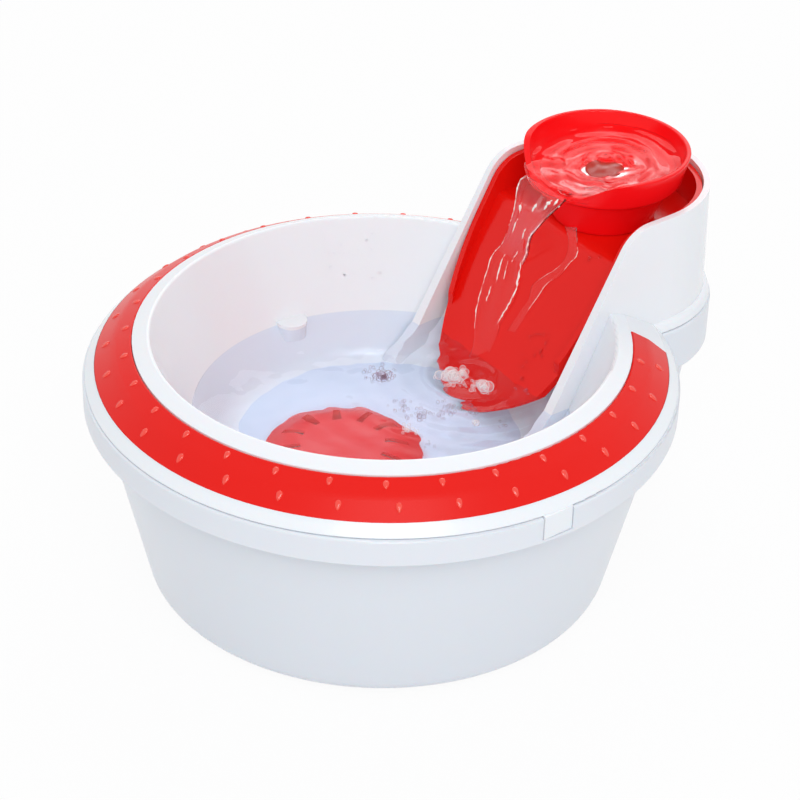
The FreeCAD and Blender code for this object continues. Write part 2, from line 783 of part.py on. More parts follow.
def make_chute():
    body = new_body("chute")
    deck_start = "(%s + (deck_height - %s) / run_slope)" % (CHUTE_TIP, TIP_HEIGHT)
    under_start = "(%s + (%s - chute_wall) / run_slope)" % (deck_start, CHUTE_DROP)
    far_back = "tower_back + rim_radius"
    # side lips that line the tower and the channel
    sketch = new_sketch(body, "side_lip_outline", "XY_Plane", out="bowl_floor_height - bowl_wall")
    add_stadium(sketch, CHUTE_RADIUS, "tower_back", "tongue_back", True)
    add_stadium(sketch, CHUTE_RADIUS + " - lip_wall", "tower_back", "tongue_back", True)
    push(body, "side_lips", sketch, "tower_height - bowl_floor_height")
    # sloping floor and the deck behind it
    sketch = new_sketch(body, "floor_profile", "YZ_Plane")
    add_outline(
        sketch,
        [
            ("0", chute_floor("0")),
            ("0", "%s - %s" % (chute_floor("0"), CHUTE_DROP)),
            (under_start, "deck_height - chute_wall", "tower_wall"),
            (far_back, "deck_height - chute_wall"),
            (far_back, "deck_height"),
            (deck_start, "deck_height", "tower_wall * 2"),
        ],
    )
    push(body, "floor", sketch, CHUTE_RADIUS + " * 2", sides="Symmetric")
    # the lips fall with the tower's sides, and only the tongue goes on under the water
    sketch = new_sketch(body, "lip_edge", "YZ_Plane")
    add_outline(sketch, lip_edge())
    push(body, "lip_slope", sketch, "rim_radius * 2", cut=True, sides="Symmetric")
    sketch = new_sketch(body, "under_profile", "YZ_Plane")
    add_outline(
        sketch,
        [
            ("0", "-rim_radius"),
            (far_back, "-rim_radius"),
            (far_back, "deck_height - chute_wall"),
            (under_start, "deck_height - chute_wall", "tower_wall"),
            ("0", "%s - %s" % (chute_floor("0"), CHUTE_DROP)),
        ],
    )
    push(body, "under_floor", sketch, "rim_radius * 2", cut=True, sides="Symmetric")
    # outline of the whole chute
    sketch = new_sketch(body, "trim_outline", "XY_Plane", out="tower_height + rim_radius")
    add_box(sketch, "-rim_radius", "rim_radius", "-rim_radius", "rim_radius * 2")
    add_stadium(sketch, CHUTE_RADIUS, "tower_back", "tongue_back", True)
    push(body, "trim", sketch, "tower_height + rim_radius * 2", cut=True)
    # hole for the cup's socket
    sketch = new_sketch(body, "socket_hole_outline", "XY_Plane", out="tower_height")
    add_circle(sketch, "0", "tower_back", SOCKET_RADIUS + " + seat_gap")
    push(body, "socket_hole", sketch, "tower_height - deck_height + chute_wall * 2", cut=True)
    return body


def lip_edge():
    """Side profile of the space above the side lips."""
    top = "(tower_height - lip_drop)"
    above = "tower_height + 2 * tower_wall"
    lip_top = "(slope_top + lip_drop / 2)"
    edge_low = "(%s - (%s - lip_front) * slope_rise / slope_run)" % (top, lip_top)
    return [
        ("-rim_radius", above),
        ("-rim_radius", chute_floor("(0 - rim_radius)")),
        ("lip_front", chute_floor("lip_front")),
        ("lip_front", edge_low, "lip_wall"),
        (lip_top, top, "slope_round"),
        ("tower_back + rim_radius", top),
        ("tower_back + rim_radius", above),
    ]


# Cup


def make_cup():
    body = new_body("cup")
    seat = "(deck_height + seat_gap)"
    inner_floor = "(%s + cup_wall)" % seat
    bore = "(tube_radius + seat_gap)"
    turn(
        body,
        "cup_round",
        [
            (bore, "deck_height - socket_drop"),
            (SOCKET_RADIUS, "deck_height - socket_drop"),
            (SOCKET_RADIUS, seat),
            ("neck_radius", seat),
            ("neck_top_radius", "neck_top_height", "cup_wall * 2"),
            ("cup_foot_radius", "cup_foot_height", "cup_wall"),
            ("cup_radius", "cup_height", "cup_wall / 3"),
            ("cup_radius - cup_wall", "cup_height", "cup_wall / 3"),
            ("cup_foot_radius - cup_wall", "cup_foot_height + cup_wall / 2", "cup_wall"),
            ("neck_top_radius - cup_wall", "neck_top_height + cup_wall / 2", "cup_wall * 2"),
            ("neck_radius - cup_wall", inner_floor, "cup_wall"),
            (bore, inner_floor),
        ],
        about="tower_back",
    )
    # wide pouring spout in the front of the rim
    sketch = new_sketch(body, "spout_outline", "XZ_Plane", out="-tower_back")
    half, wide = "spout_width / 2", "(spout_width / 2 + spout_flare)"
    rim, above = "(cup_height + fit_gap)", "cup_height + cup_wall"
    add_outline(
        sketch,
        [
            ("-" + half, "spout_height", "spout_round"),
            (half, "spout_height", "spout_round"),
            (wide, rim, "spout_round"),
            ("cup_radius * 2", rim),
            ("cup_radius * 2", above),
            ("-cup_radius * 2", above),
            ("-cup_radius * 2", rim),
            ("-" + wide, rim, "spout_round"),
        ],
    )
    push(body, "spout", sketch, "cup_radius * 2", cut=True, flip=True)
    return body


# Filter

CARTRIDGE_BASE = "(bowl_floor_height - well_depth + well_wall + seat_gap)"
CARTRIDGE_RADIUS = "(well_radius - filter_gap)"
COVER_SLOTS = 12


def disc_between(body, name, radius, low, thick):
    sketch = new_sketch(body, name + "_outline", "XY_Plane", up="-filter_front", out=low)
    add_circle(sketch, "0", "0", radius)
    return push(body, name, sketch, thick)


def make_filter_frame():
    body = new_body("filter_frame")
    disc_between(body, "frame_drum", CARTRIDGE_RADIUS, CARTRIDGE_BASE, "cartridge_height")
    sketch = new_sketch(
        body,
        "frame_hollow_outline",
        "XY_Plane",
        up="-filter_front",
        out="%s + cartridge_height" % CARTRIDGE_BASE,
    )
    add_circle(sketch, "0", "0", CARTRIDGE_RADIUS + " - cartridge_wall")
    push(body, "frame_hollow", sketch, "cartridge_height - cartridge_wall", cut=True)
    sketch = new_sketch(
        body, "frame_slot_outline", "XY_Plane", up="-filter_front", out="bowl_floor_height"
    )
    add_drain_slots(sketch)
    push(body, "frame_slots", sketch, "well_depth", cut=True)
    return body


def make_filter_foam():
    body = new_body("filter_foam")
    radius = CARTRIDGE_RADIUS + " - cartridge_wall - seat_gap"
    disc_between(body, "foam", radius, CARTRIDGE_BASE + " + cartridge_wall + fit_gap", "foam_thick")
    return body


def make_carbon_pack():
    body = new_body("carbon_pack")
    radius = CARTRIDGE_RADIUS + " - cartridge_wall - seat_gap"
    low = CARTRIDGE_BASE + " + cartridge_wall + foam_thick + fit_gap * 2"
    thick = "cartridge_height - cartridge_wall - foam_thick - cartridge_wall"
    disc_between(body, "pack", radius, low, thick)
    return body


def make_filter_cover():
    body = new_body("filter_cover")
    seat = "(bowl_floor_height + seat_gap)"
    plug = "(well_radius - filter_gap)"
    inner_shoulder = "(cover_radius - cover_shoulder - cover_wall / 2)"
    turn(
        body,
        "cover_dome",
        [
            ("cover_radius", seat),
            ("cover_radius", seat + " + cover_wall", "cover_wall / 2"),
            ("cover_radius - cover_shoulder", seat + " + cover_rise", "cover_round"),
            ("0", seat + " + cover_rise"),
            ("0", seat + " + cover_rise - cover_wall"),
            (inner_shoulder, seat + " + cover_rise - cover_wall", "cover_round - cover_wall"),
            (plug + " - cover_wall", seat + " + fit_gap"),
            (plug + " - cover_wall", seat + " - cover_wall * 2"),
            (plug, seat + " - cover_wall * 2"),
            (plug, seat),
        ],
        about="-filter_front",
    )
    slot = new_sketch(
        body, "cover_slot_outline", "XY_Plane", up="-filter_front", out=seat + " + cover_rise * 2"
    )
    slot_end = "(cover_radius - cover_margin)"
    add_box(slot, "-drain_width / 2", "drain_width / 2", slot_end + " - cover_slot", slot_end)
    pocket = push(body, "cover_slot", slot, "cover_rise * 2", cut=True)
    pattern = body.newObject("PartDesign::PolarPattern", "cover_slots")
    pattern.Originals = [pocket]
    pattern.Axis = (slot, ["N_Axis"])
    pattern.Angle = FULL_TURN
    pattern.Occurrences = COVER_SLOTS
    body.Tip = pattern
    return body


# Pump

PUMP_BASE = "(foot_height + tank_floor + cup_foot)"
PUMP_TOP = "(foot_height + tank_floor + cup_foot + pump_tall)"
PUMP_FACE = "(tower_back - volute_depth / 2)"
SHAFT_HEIGHT = "(foot_height + tank_floor + cup_foot + pump_tall / 2)"
ROTOR_BACK = "(%s + volute_depth + rotor_long)" % PUMP_FACE
BLADES = 6


def across_pump(body, name, along):
    """Sketch square to the pump's shaft; its pads run back with flip and forward without."""
    return new_sketch(body, name, "XZ_Plane", up=SHAFT_HEIGHT, out="-" + along)


def make_pump_housing():
    body = new_body("pump_housing")
    sketch = new_sketch(body, "housing_outline", "XY_Plane", out=PUMP_BASE)
    half = "pump_width / 2"
    back = "tower_back + pump_rear"
    add_outline(
        sketch,
        [
            ("-" + half, PUMP_FACE),
            (half, PUMP_FACE),
            (half, back, "pump_corner"),
            ("-" + half, back, "pump_corner"),
        ],
    )
    push(body, "housing", sketch, "pump_tall")
    sketch = new_sketch(body, "nozzle_outline", "XY_Plane", out=PUMP_TOP)
    add_circle(sketch, "0", "tower_back", "nozzle_radius")
    push(body, "nozzle", sketch, "nozzle_rise")
    sketch = new_sketch(body, "outlet_outline", "XY_Plane", out=PUMP_TOP + " + nozzle_rise")
    add_circle(sketch, "0", "tower_back", "nozzle_radius - tube_wall")
    push(body, "outlet", sketch, "nozzle_rise + pump_tall / 2", cut=True)
    for name, radius, start, deep in (
        ("volute", "volute_radius", PUMP_FACE, "volute_depth"),
        ("rotor_well", "magnet_radius + rotor_gap", PUMP_FACE, "volute_depth + rotor_long"),
        ("bush_seat", "bush_radius + fit_gap / 2", ROTOR_BACK, "bush_long"),
    ):
        sketch = across_pump(body, name + "_outline", start)
        add_circle(sketch, "0", "0", radius)
        push(body, name, sketch, deep, cut=True)
    return body


def make_impeller_plate():
    """Front plate of the volute: its eye is crossed by two bars that hold the front bush."""
    body = new_body("impeller_plate")
    sketch = across_pump(body, "plate_outline", PUMP_FACE)
    add_circle(sketch, "0", "0", "plate_radius")
    add_circle(sketch, "0", "0", "inlet_radius")
    push(body, "plate", sketch, "plate_thick")
    bar_end = "(inlet_radius + plate_thick / 2)"
    sketch = across_pump(body, "level_bar_outline", PUMP_FACE)
    add_box(sketch, "-" + bar_end, bar_end, "-plate_thick / 2", "plate_thick / 2")
    push(body, "level_bar", sketch, "plate_thick")
    sketch = across_pump(body, "upright_bar_outline", PUMP_FACE)
    add_box(sketch, "-plate_thick / 2", "plate_thick / 2", "-" + bar_end, bar_end)
    push(body, "upright_bar", sketch, "plate_thick")
    sketch = across_pump(body, "bush_holder_outline", PUMP_FACE)
    add_circle(sketch, "0", "0", "bush_radius + plate_thick / 2")
    push(body, "bush_holder", sketch, "plate_thick")
    sketch = across_pump(body, "bush_hole_outline", PUMP_FACE)
    add_circle(sketch, "0", "0", "bush_radius + fit_gap / 2")
    push(body, "bush_hole", sketch, "plate_thick * 2", cut=True, flip=True)
    return body


def ring_piece(name, outer, inner, start, long):
    """Plain ring about the pump's shaft, from start back."""
    body = new_body(name)
    sketch = across_pump(body, name + "_outline", start)
    add_circle(sketch, "0", "0", outer)
    add_circle(sketch, "0", "0", inner)
    push(body, name + "_ring", sketch, long, flip=True)
    return body


def make_bushes():
    grip = "shaft_radius + fit_gap / 2"
    return [
        ring_piece("front_bush", "bush_radius", grip, "(%s - plate_thick)" % PUMP_FACE, "plate_thick"),
        ring_piece("rear_bush", "bush_radius", grip, ROTOR_BACK, "bush_long"),
    ]


def make_shaft():
    body = new_body("rotor_shaft")
    start = "(%s - plate_thick)" % PUMP_FACE
    sketch = across_pump(body, "shaft_outline", start)
    add_circle(sketch, "0", "0", "shaft_radius")
    push(body, "shaft", sketch, "%s + bush_long - %s" % (ROTOR_BACK, start), flip=True)
    return body


def make_magnet():
    start = "(%s + volute_depth + rotor_gap)" % PUMP_FACE
    return ring_piece("rotor_magnet", "magnet_radius", "hub_radius + fit_gap / 2", start, "magnet_long")


def make_impeller():
    body = new_body("impeller")
    front = "(%s + rotor_gap)" % PUMP_FACE
    disc = "(%s + rotor_gap + blade_wide)" % PUMP_FACE
    bore = "shaft_radius + fit_gap"
    sketch = across_pump(body, "hub_outline", front)
    add_circle(sketch, "0", "0", "hub_radius")
    push(body, "hub", sketch, "volute_depth + magnet_long", flip=True)
    sketch = across_pump(body, "disc_outline", disc)
    add_circle(sketch, "0", "0", "blade_radius")
    push(body, "disc", sketch, "blade_thick", flip=True)
    sketch = across_pump(body, "blade_outline", front)
    add_box(sketch, "hub_radius / 2", "blade_radius", "-blade_thick / 2", "blade_thick / 2")
    blade = push(body, "blade", sketch, "blade_wide + blade_thick / 2", flip=True)
    pattern = body.newObject("PartDesign::PolarPattern", "blades")
    pattern.Originals = [blade]
    pattern.Axis = (sketch, ["N_Axis"])
    pattern.Angle = FULL_TURN
    pattern.Occurrences = BLADES
    sketch = across_pump(body, "bore_outline", front)
    add_circle(sketch, "0", "0", bore)
    push(body, "bore", sketch, "volute_depth + magnet_long + rotor_gap", cut=True)
    return body


SLOTS = 5
INTAKE_FACE = "(tower_back - volute_depth / 2 - intake_depth)"
SLOT_PITCH = "((pump_tall - intake_wall * 2) / 6)"


def make_intake_cover():
    """Slotted cap over the front of the pump, with two rails for the shutter."""
    body = new_body("intake_cover")
    wide, tall = "pump_width / 2", "pump_tall / 2"
    sketch = across_pump(body, "cap_outline", PUMP_FACE)
    corner = "pump_corner / 2"
    add_outline(
        sketch,
        [
            ("-" + wide, "-" + tall, corner),
            (wide, "-" + tall, corner),
            (wide, tall, corner),
            ("-" + wide, tall, corner),
        ],
    )
    push(body, "cap", sketch, "intake_depth")
    sketch = across_pump(body, "cap_hollow_outline", PUMP_FACE)
    inner_wide, inner_tall = "(pump_width / 2 - intake_wall)", "(pump_tall / 2 - intake_wall)"
    add_box(sketch, "-" + inner_wide, inner_wide, "-" + inner_tall, inner_tall)
    push(body, "cap_hollow", sketch, "intake_depth - intake_wall", cut=True, flip=True)
    sketch = across_pump(body, "slot_outline", PUMP_FACE)
    for step in range(SLOTS):
        height = "(%d * %s)" % (step - SLOTS // 2, SLOT_PITCH)
        add_box(
            sketch,
            "-pump_width / 2 + slot_inset",
            "pump_width / 2 - slot_inset",
            height + " - slot_tall / 2",
            height + " + slot_tall / 2",
        )
    push(body, "slots", sketch, "intake_depth + intake_wall", cut=True, flip=True)
    sketch = across_pump(body, "rail_outline", "(%s + intake_wall)" % INTAKE_FACE)
    for sign in ("-", ""):
        near = "%s(%s * 2.5 + seat_gap)" % (sign, SLOT_PITCH)
        far = "%s(%s * 2.5 + seat_gap + intake_wall / 2)" % (sign, SLOT_PITCH)
        low, high = (far, near) if sign else (near, far)
        add_box(sketch, "-" + inner_wide, inner_wide, low, high)
    push(body, "rails", sketch, "intake_wall + seat_gap", flip=True)
    return body


def make_flow_shutter():
    """Plate behind the slots, slid by a knob that stands out of the middle one."""
    body = new_body("flow_shutter")
    start = "(%s + intake_wall + seat_gap / 2)" % INTAKE_FACE
    left = "(slot_inset - slot_lap - pump_width / 2)"
    sketch = across_pump(body, "shutter_outline", start)
    tall = "(%s * 2.5)" % SLOT_PITCH
    add_box(sketch, left, left + " + shutter_travel * 2", "-" + tall, tall)
    push(body, "shutter", sketch, "intake_wall", flip=True)
    sketch = across_pump(body, "knob_outline", start)
    knob = "(shutter_travel - slot_tall)"
    add_box(
        sketch,
        left + " + " + knob,
        left + " + %s + slot_tall" % knob,
        "-slot_tall / 2 + seat_gap",
        "slot_tall / 2 - seat_gap",
    )
    push(body, "knob", sketch, "intake_wall * 3")
    return body


def make_suckers():
    """Four rubber suction cups between the pump and the tank's floor."""
    cups = []
    across = "(pump_width / 2 - sucker_radius * 1.2)"
    spread = "(pump_rear + volute_depth / 2 - sucker_radius * 3) / 2"
    middle = "(tower_back + (pump_rear - volute_depth / 2) / 2)"
    number = 0
    for side in ("-", ""):
        for end in ("-", "+"):
            number += 1
            cup = doc.addObject("Part::Cone", "sucker_%d" % number)
            bind(cup, "Radius1", "sucker_radius")
            bind(cup, "Radius2", "sucker_radius / 2")
            bind(cup, "Height", "cup_foot")
            bind(cup, ".Placement.Base.x", side + across)
            bind(cup, ".Placement.Base.y", "%s %s %s + %s" % (middle, end, spread, AXIS_SHIFT))
            bind(cup, ".Placement.Base.z", TANK_FLOOR_TOP)
            cups.append(cup)
    group = doc.addObject("Part::Compound", "suction_cups")
    group.Links = cups
    return group


def make_riser_tube():
    body = new_body("riser_tube")
    sketch = new_sketch(body, "tube_outline", "XY_Plane", out=PUMP_TOP)
    add_circle(sketch, "0", "tower_back", "tube_radius")
    add_circle(sketch, "0", "tower_back", "nozzle_radius + fit_gap")
    push(body, "tube", sketch, "tube_top - %s" % PUMP_TOP)
    return body


def make_cord_gland():
    """Rubber boot on the pump where its lead would go in."""
    boot = doc.addObject("Part::Cone", "cord_gland")
    bind(boot, "Radius1", "gland_radius")
    bind(boot, "Radius2", "gland_top")
    bind(boot, "Height", "gland_rise")
    bind(boot, ".Placement.Base.x", "pump_width / 2 - gland_radius - pump_corner / 2")
    back = "tower_back + pump_rear - pump_corner - gland_radius / 2"
    bind(boot, ".Placement.Base.y", back + " + " + AXIS_SHIFT)
    bind(boot, ".Placement.Base.z", PUMP_TOP)
    return boot


parts = [
    make_tank(),
    make_feet(),
    make_grommet(),
    make_upper_bowl(),
    make_rim_ring(),
    make_chute(),
    make_cup(),
    make_filter_frame(),
    make_filter_foam(),
    make_carbon_pack(),
    make_filter_cover(),
    make_pump_housing(),
    make_impeller_plate(),
    *make_bushes(),
    make_shaft(),
    make_magnet(),
    make_impeller(),
    make_intake_cover(),
    make_flow_shutter(),
    make_suckers(),
    make_riser_tube(),
    make_cord_gland(),
]
doc.recompute()

# Every object must have built, and every sub-part must be sound, before anything is written.
failed = [item.Name for item in doc.Objects if {"Invalid", "Error"} & set(item.State)]
if failed:
    raise RuntimeError("objects that did not build: " + ", ".join(failed))
for item in parts:
    if item.Shape.isNull() or not item.Shape.isValid():
        raise RuntimeError("unsound sub-part: " + item.Label)
os.makedirs("parts", exist_ok=True)
for item in parts:
    item.Shape.exportStep(os.path.join("parts", item.Label + ".step"))
    solids = len(item.Shape.Solids)
    print("%-16s solids %d, volume %.0f mm3" % (item.Label, solids, item.Shape.Volume))
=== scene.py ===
# %% [markdown]
# A pet water fountain, dressed for a studio photograph.
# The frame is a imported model: every rigid piece of the fountain is already in it, in metres, and
# stays where it is. This lesson gives those pieces their finishes, and adds what a rigid model
# leaves out: the water in the bowl, the run of water down the red chute, foam, drops and drips.

import math
import random

import bmesh
import bpy
from mathutils import Matrix, Vector, noise
from mathutils.bvhtree import BVHTree


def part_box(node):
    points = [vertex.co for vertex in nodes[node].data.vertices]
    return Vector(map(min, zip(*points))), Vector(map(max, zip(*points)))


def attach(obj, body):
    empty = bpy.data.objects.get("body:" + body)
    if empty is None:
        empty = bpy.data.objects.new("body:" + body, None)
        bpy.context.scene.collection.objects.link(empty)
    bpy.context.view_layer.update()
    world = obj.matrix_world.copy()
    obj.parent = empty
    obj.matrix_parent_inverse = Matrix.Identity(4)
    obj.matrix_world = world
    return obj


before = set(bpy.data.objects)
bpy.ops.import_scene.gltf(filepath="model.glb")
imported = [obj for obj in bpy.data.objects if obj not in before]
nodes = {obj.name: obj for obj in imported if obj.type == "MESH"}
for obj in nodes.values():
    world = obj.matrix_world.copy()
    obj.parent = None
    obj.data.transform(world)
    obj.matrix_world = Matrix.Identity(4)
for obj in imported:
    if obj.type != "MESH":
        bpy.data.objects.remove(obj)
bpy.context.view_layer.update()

# %% [markdown]
# Two upright axes rule the whole object: the bowl's and the tower's. Both are read from the
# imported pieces, so the water follows them. The soft ring is round about the bowl's axis and open
# at the back, which gives the axis from its front and its width. The riser tube stands on the
# tower's axis. Places below are written in millimetres about the bowl's axis, as one would
# measure them with a ruler on the real fountain.

# %% The two axes and a ruler
MM = 0.001
ring_low, ring_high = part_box("rim_ring")
tube_low, tube_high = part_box("riser_tube")
BOWL_Y = ring_low.y + ring_high.x
TOWER_Y = (tube_low.y + tube_high.y) / 2
TOWER_BACK = (TOWER_Y - BOWL_Y) / MM


def at(x, y, z):
    """A point given in millimetres about the bowl's axis, in the frame."""
    return Vector((x * MM, BOWL_Y + y * MM, z * MM))


print("bowl axis y", round(BOWL_Y, 4), "tower axis", round(TOWER_BACK, 1), "mm behind it")

# %% [markdown]
# The camera stands to the right of the fountain's front and looks down into the bowl. A long lens
# keeps the round rims calm, as in a catalogue picture. Its right and up directions are written
# out, because the picture is also turned a little about the line of sight.

# %% Camera
CAMERA_PLACE = at(720.6, -567.1, 670.0)
CAMERA_RIGHT = Vector((0.61282, 0.78985, 0.02421))
CAMERA_UP = Vector((-0.44036, 0.31590, 0.84041))
LENS = 116.0
SENSOR = 36.0
FARTHEST = 20.0

camera_data = bpy.data.cameras.new("view")
camera_data.lens = LENS
camera_data.sensor_width = SENSOR
camera_data.clip_end = FARTHEST
camera = bpy.data.objects.new("view", camera_data)
bpy.context.scene.collection.objects.link(camera)
backward = CAMERA_RIGHT.cross(CAMERA_UP)
turned = Matrix((CAMERA_RIGHT, CAMERA_UP, backward)).transposed()
camera.matrix_world = Matrix.Translation(CAMERA_PLACE) @ turned.to_4x4()
bpy.context.scene.camera = camera
print("camera", [round(v, 3) for v in CAMERA_PLACE])

# %% [markdown]
# Materials and the sky are graphs of nodes. A few moves come back in all of them: add a node,
# link two sockets, ask what kind of ray is looking, and mix two shaders. They are written once,
# in a small class that the finishes and the sky share.


# %% Graphs of nodes
class Graph:
    """A graph of nodes, for a material or for the sky."""

    def __init__(self, tree):
        self.tree = tree

    def node(self, kind, **settings):
        node = self.tree.nodes.new(kind)
        for key, setting in settings.items():
            setattr(node, key, setting)
        return node

    def link(self, output, socket):
        self.tree.links.new(output, socket)

    def ray_is(self, *kinds):
        """1 for a ray of any of these kinds, else 0."""
        rays = self.node("ShaderNodeLightPath")
        answer = rays.outputs[kinds[0]]
        for kind in kinds[1:]:
            either = self.node("ShaderNodeMath", operation="MAXIMUM")
            self.link(answer, either.inputs[0])
            self.link(rays.outputs[kind], either.inputs[1])
            answer = either.outputs[0]
        return answer

    def part_of(self, output, share):
        """A number times a share."""
        part = self.node("ShaderNodeMath", operation="MULTIPLY")
        part.inputs[1].default_value = share
        self.link(output, part.inputs[0])
        return part.outputs[0]

    def show(self, factor, first, second, socket):
        """Send a mixture of two shaders to a socket of the graph's output."""
        mix = self.node("ShaderNodeMixShader")
        for output, way_in in zip((factor, first, second), mix.inputs):
            self.link(output, way_in)
        self.link(mix.outputs[0], socket)


SEEN = ("Is Camera Ray", "Is Glossy Ray", "Is Transmission Ray")
print("rays that see the white studio", len(SEEN))

# %% [markdown]
# Every finish here starts from one Principled shader. Its colour, roughness and bump come from
# procedural noise, measured in the object's own metres, so the grain keeps its real size. What is
# the same all over, such as the refractive index, is set on the shader's own socket.


# %% Helpers for finishes
def linear(red, green, blue):
    """A colour written as it looks on screen, 0 to 255, as the numbers a shader wants.

    The screen's curve (sRGB) is a straight line near black and a power above it.
    """
    out = []
    for channel in (red, green, blue):
        share = channel / 255
        low = share / 12.92
        high = ((share + 0.055) / 1.055) ** 2.4
        out.append(low if share <= 0.04045 else high)
    return (*out, 1.0)


class Finish(Graph):
    """One material: its graph, its shader and the object's own coordinates."""

    def __init__(self, name):
        self.name = name
        self.material = bpy.data.materials.new(name)
        self.material.use_nodes = True
        super().__init__(self.material.node_tree)
        self.shader = self.tree.nodes["Principled BSDF"]
        self.surface = self.tree.nodes["Material Output"].inputs["Surface"]
        self.place = self.node("ShaderNodeTexCoord").outputs["Object"]

    def cloud(self, size, detail=3.0):
        """Noise from 0 to 1 whose patches are about size metres across."""
        cloud = self.node("ShaderNodeTexNoise")
        cloud.inputs["Scale"].default_value = 1 / size
        cloud.inputs["Detail"].default_value = detail
        self.link(self.place, cloud.inputs["Vector"])
        return cloud.outputs["Fac"]

    def between(self, factor, low, high, start=0.0, end=1.0):
        """A number that goes from low to high while the factor goes from start to end."""
        ramp = self.node("ShaderNodeMapRange")
        for socket, setting in zip(ramp.inputs[1:5], (start, end, low, high)):
            socket.default_value = setting
        self.link(factor, ramp.inputs[0])
        return ramp.outputs[0]

    def blend(self, factor, first, second):
        """A colour that goes from first to second with the factor."""
        mix = self.node("ShaderNodeMix", data_type="RGBA")
        mix.inputs["A"].default_value = first
        mix.inputs["B"].default_value = second
        self.link(factor, mix.inputs["Factor"])
        return mix.outputs["Result"]

    def bump(self, height, strength, distance):
        bump = self.node("ShaderNodeBump")
        bump.inputs["Strength"].default_value = strength
        bump.inputs["Distance"].default_value = distance
        self.link(height, bump.inputs["Height"])
        self.feed(Normal=bump.outputs["Normal"])

    def feed(self, **sockets):
        """Link outputs to the shader's sockets of these names."""
        for key, output in sockets.items():
            self.link(output, self.shader.inputs[key.replace("_", " ")])

    def set(self, **sockets):
        """Set the shader's sockets of these names to plain values."""
        for key, setting in sockets.items():
            self.shader.inputs[key.replace("_", " ")].default_value = setting


finishes = {}


def keep(*made):
    """Remember finishes by their names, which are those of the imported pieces' slots."""
    for finish in made:
        finishes[finish.name] = finish


print("white is", linear(255, 255, 255))

# %% [markdown]
# The white shells and the red pieces are injection-moulded. Such plastic is smooth, but not
# perfect: its colour is a little cloudy where the melt cooled unevenly, its gloss drifts, and a
# faint orange peel breaks up reflections. One function makes them all from a few numbers. Light
# also enters these plastics a little way, which subsurface scattering stands for.

# %% Moulded plastic
WORN_PATCH = 0.03
PEEL_GRAIN = 0.0016
PEEL_STRENGTH = 0.04
PEEL_DEPTH = 0.0004
PLASTIC_IOR = 1.49
RED_GOES_DEEPEST = (1.0, 0.4, 0.3)


def moulded(name, colour, shade, gloss, patch=0.12, glow=0.0, depth=0.004, shine=0.5):
    """Smooth plastic that drifts between two colours and between two roughnesses."""
    finish = Finish(name)
    finish.feed(
        Base_Color=finish.blend(finish.cloud(patch), linear(*colour), linear(*shade)),
        Roughness=finish.between(finish.cloud(WORN_PATCH), *gloss),
    )
    finish.bump(finish.cloud(PEEL_GRAIN, detail=1.0), PEEL_STRENGTH, PEEL_DEPTH)
    finish.set(Subsurface_Weight=glow, Subsurface_Radius=RED_GOES_DEEPEST)
    finish.set(Subsurface_Scale=depth, IOR=PLASTIC_IOR, Specular_IOR_Level=shine)
    return finish


keep(
    moulded("white_shell", (231, 235, 242), (227, 232, 240), (0.26, 0.34), glow=0.2),
    moulded("white_bowl", (241, 244, 249), (238, 241, 247), (0.16, 0.24), glow=0.15),
    moulded(
        "clear_red", (236, 24, 16), (226, 20, 12), (0.14, 0.22), glow=0.1, depth=0.001, shine=0.24
    ),
    moulded("white_frame", (214, 216, 220), (204, 207, 213), (0.35, 0.5)),
    moulded("pump_black", (34, 35, 38), (26, 27, 30), (0.4, 0.55)),
    moulded("pump_grey", (118, 121, 126), (105, 108, 114), (0.4, 0.5)),
    moulded("impeller_white", (214, 214, 208), (203, 203, 196), (0.35, 0.5)),
    moulded("ceramic", (236, 234, 226), (228, 225, 216), (0.06, 0.12)),
)
print("moulded finishes", len(finishes))

# %% [markdown]
# Rubber scatters light at its skin. It is rougher than plastic, has a soft sheen at a low angle,
# and a fine grain from the mould. The ring is a red rubber with a satin skin. The rubber parts
# that are hidden under the bowl and the tank are clear or grey, and the riser tube is silicone.

# %% Rubber
RUBBER_PATCH = 0.06
RUBBER_WORN_PATCH = 0.02
GRAIN = 0.0007
GRAIN_STRENGTH = 0.12
GRAIN_DEPTH = 0.0003
SHEEN_TINT = (1.0, 0.75, 0.72, 1.0)


def rubber(name, colour, shade, gloss, sheen=0.25, shine=0.5):
    """Soft rubber with a fine grain and a sheen."""
    finish = Finish(name)
    finish.feed(
        Base_Color=finish.blend(finish.cloud(RUBBER_PATCH), linear(*colour), linear(*shade)),
        Roughness=finish.between(finish.cloud(RUBBER_WORN_PATCH), *gloss),
    )
    finish.bump(finish.cloud(GRAIN, detail=2.0), GRAIN_STRENGTH, GRAIN_DEPTH)
    finish.set(Sheen_Weight=sheen, Sheen_Roughness=0.4, Sheen_Tint=SHEEN_TINT)
    finish.set(Specular_IOR_Level=shine)
    return finish


keep(
    rubber("soft_red", (234, 20, 8), (227, 16, 6), (0.26, 0.36), sheen=0.03, shine=0.24),
    rubber("clear_rubber", (198, 202, 206), (186, 190, 196), (0.3, 0.45)),
    rubber("grey_rubber", (96, 98, 102), (84, 86, 91), (0.45, 0.6)),
    rubber("silicone", (214, 218, 222), (204, 208, 214), (0.2, 0.35)),
)
print("finishes so far", len(finishes))

# %% [markdown]
# The filter's foam is a sponge of open cells. The carbon pack is a pouch of pale felt, with dark
# grains that show through it here and there. Both lie under the filter cover, and are seen when
# it is lifted and, dimly, through its slots. A Voronoi pattern gives the cells and the grains,
# in colour and in bump, at their real size. The foam's darker colour in its cell hollows is
# painted shade in the pores; the carbon's is its dark grains. The rotor's magnet is ferrite, a
# dark ceramic with lighter specks, and is made here too.

# %% Filter materials and ferrite
CELL_EDGE = (0.1, 0.6)
CELL_STRENGTH = 0.8
SPECK_EDGE = (0.35, 0.65)
SPECK = 0.0006
SPECK_STRENGTH = 0.2
SPECK_DEPTH = 0.0002


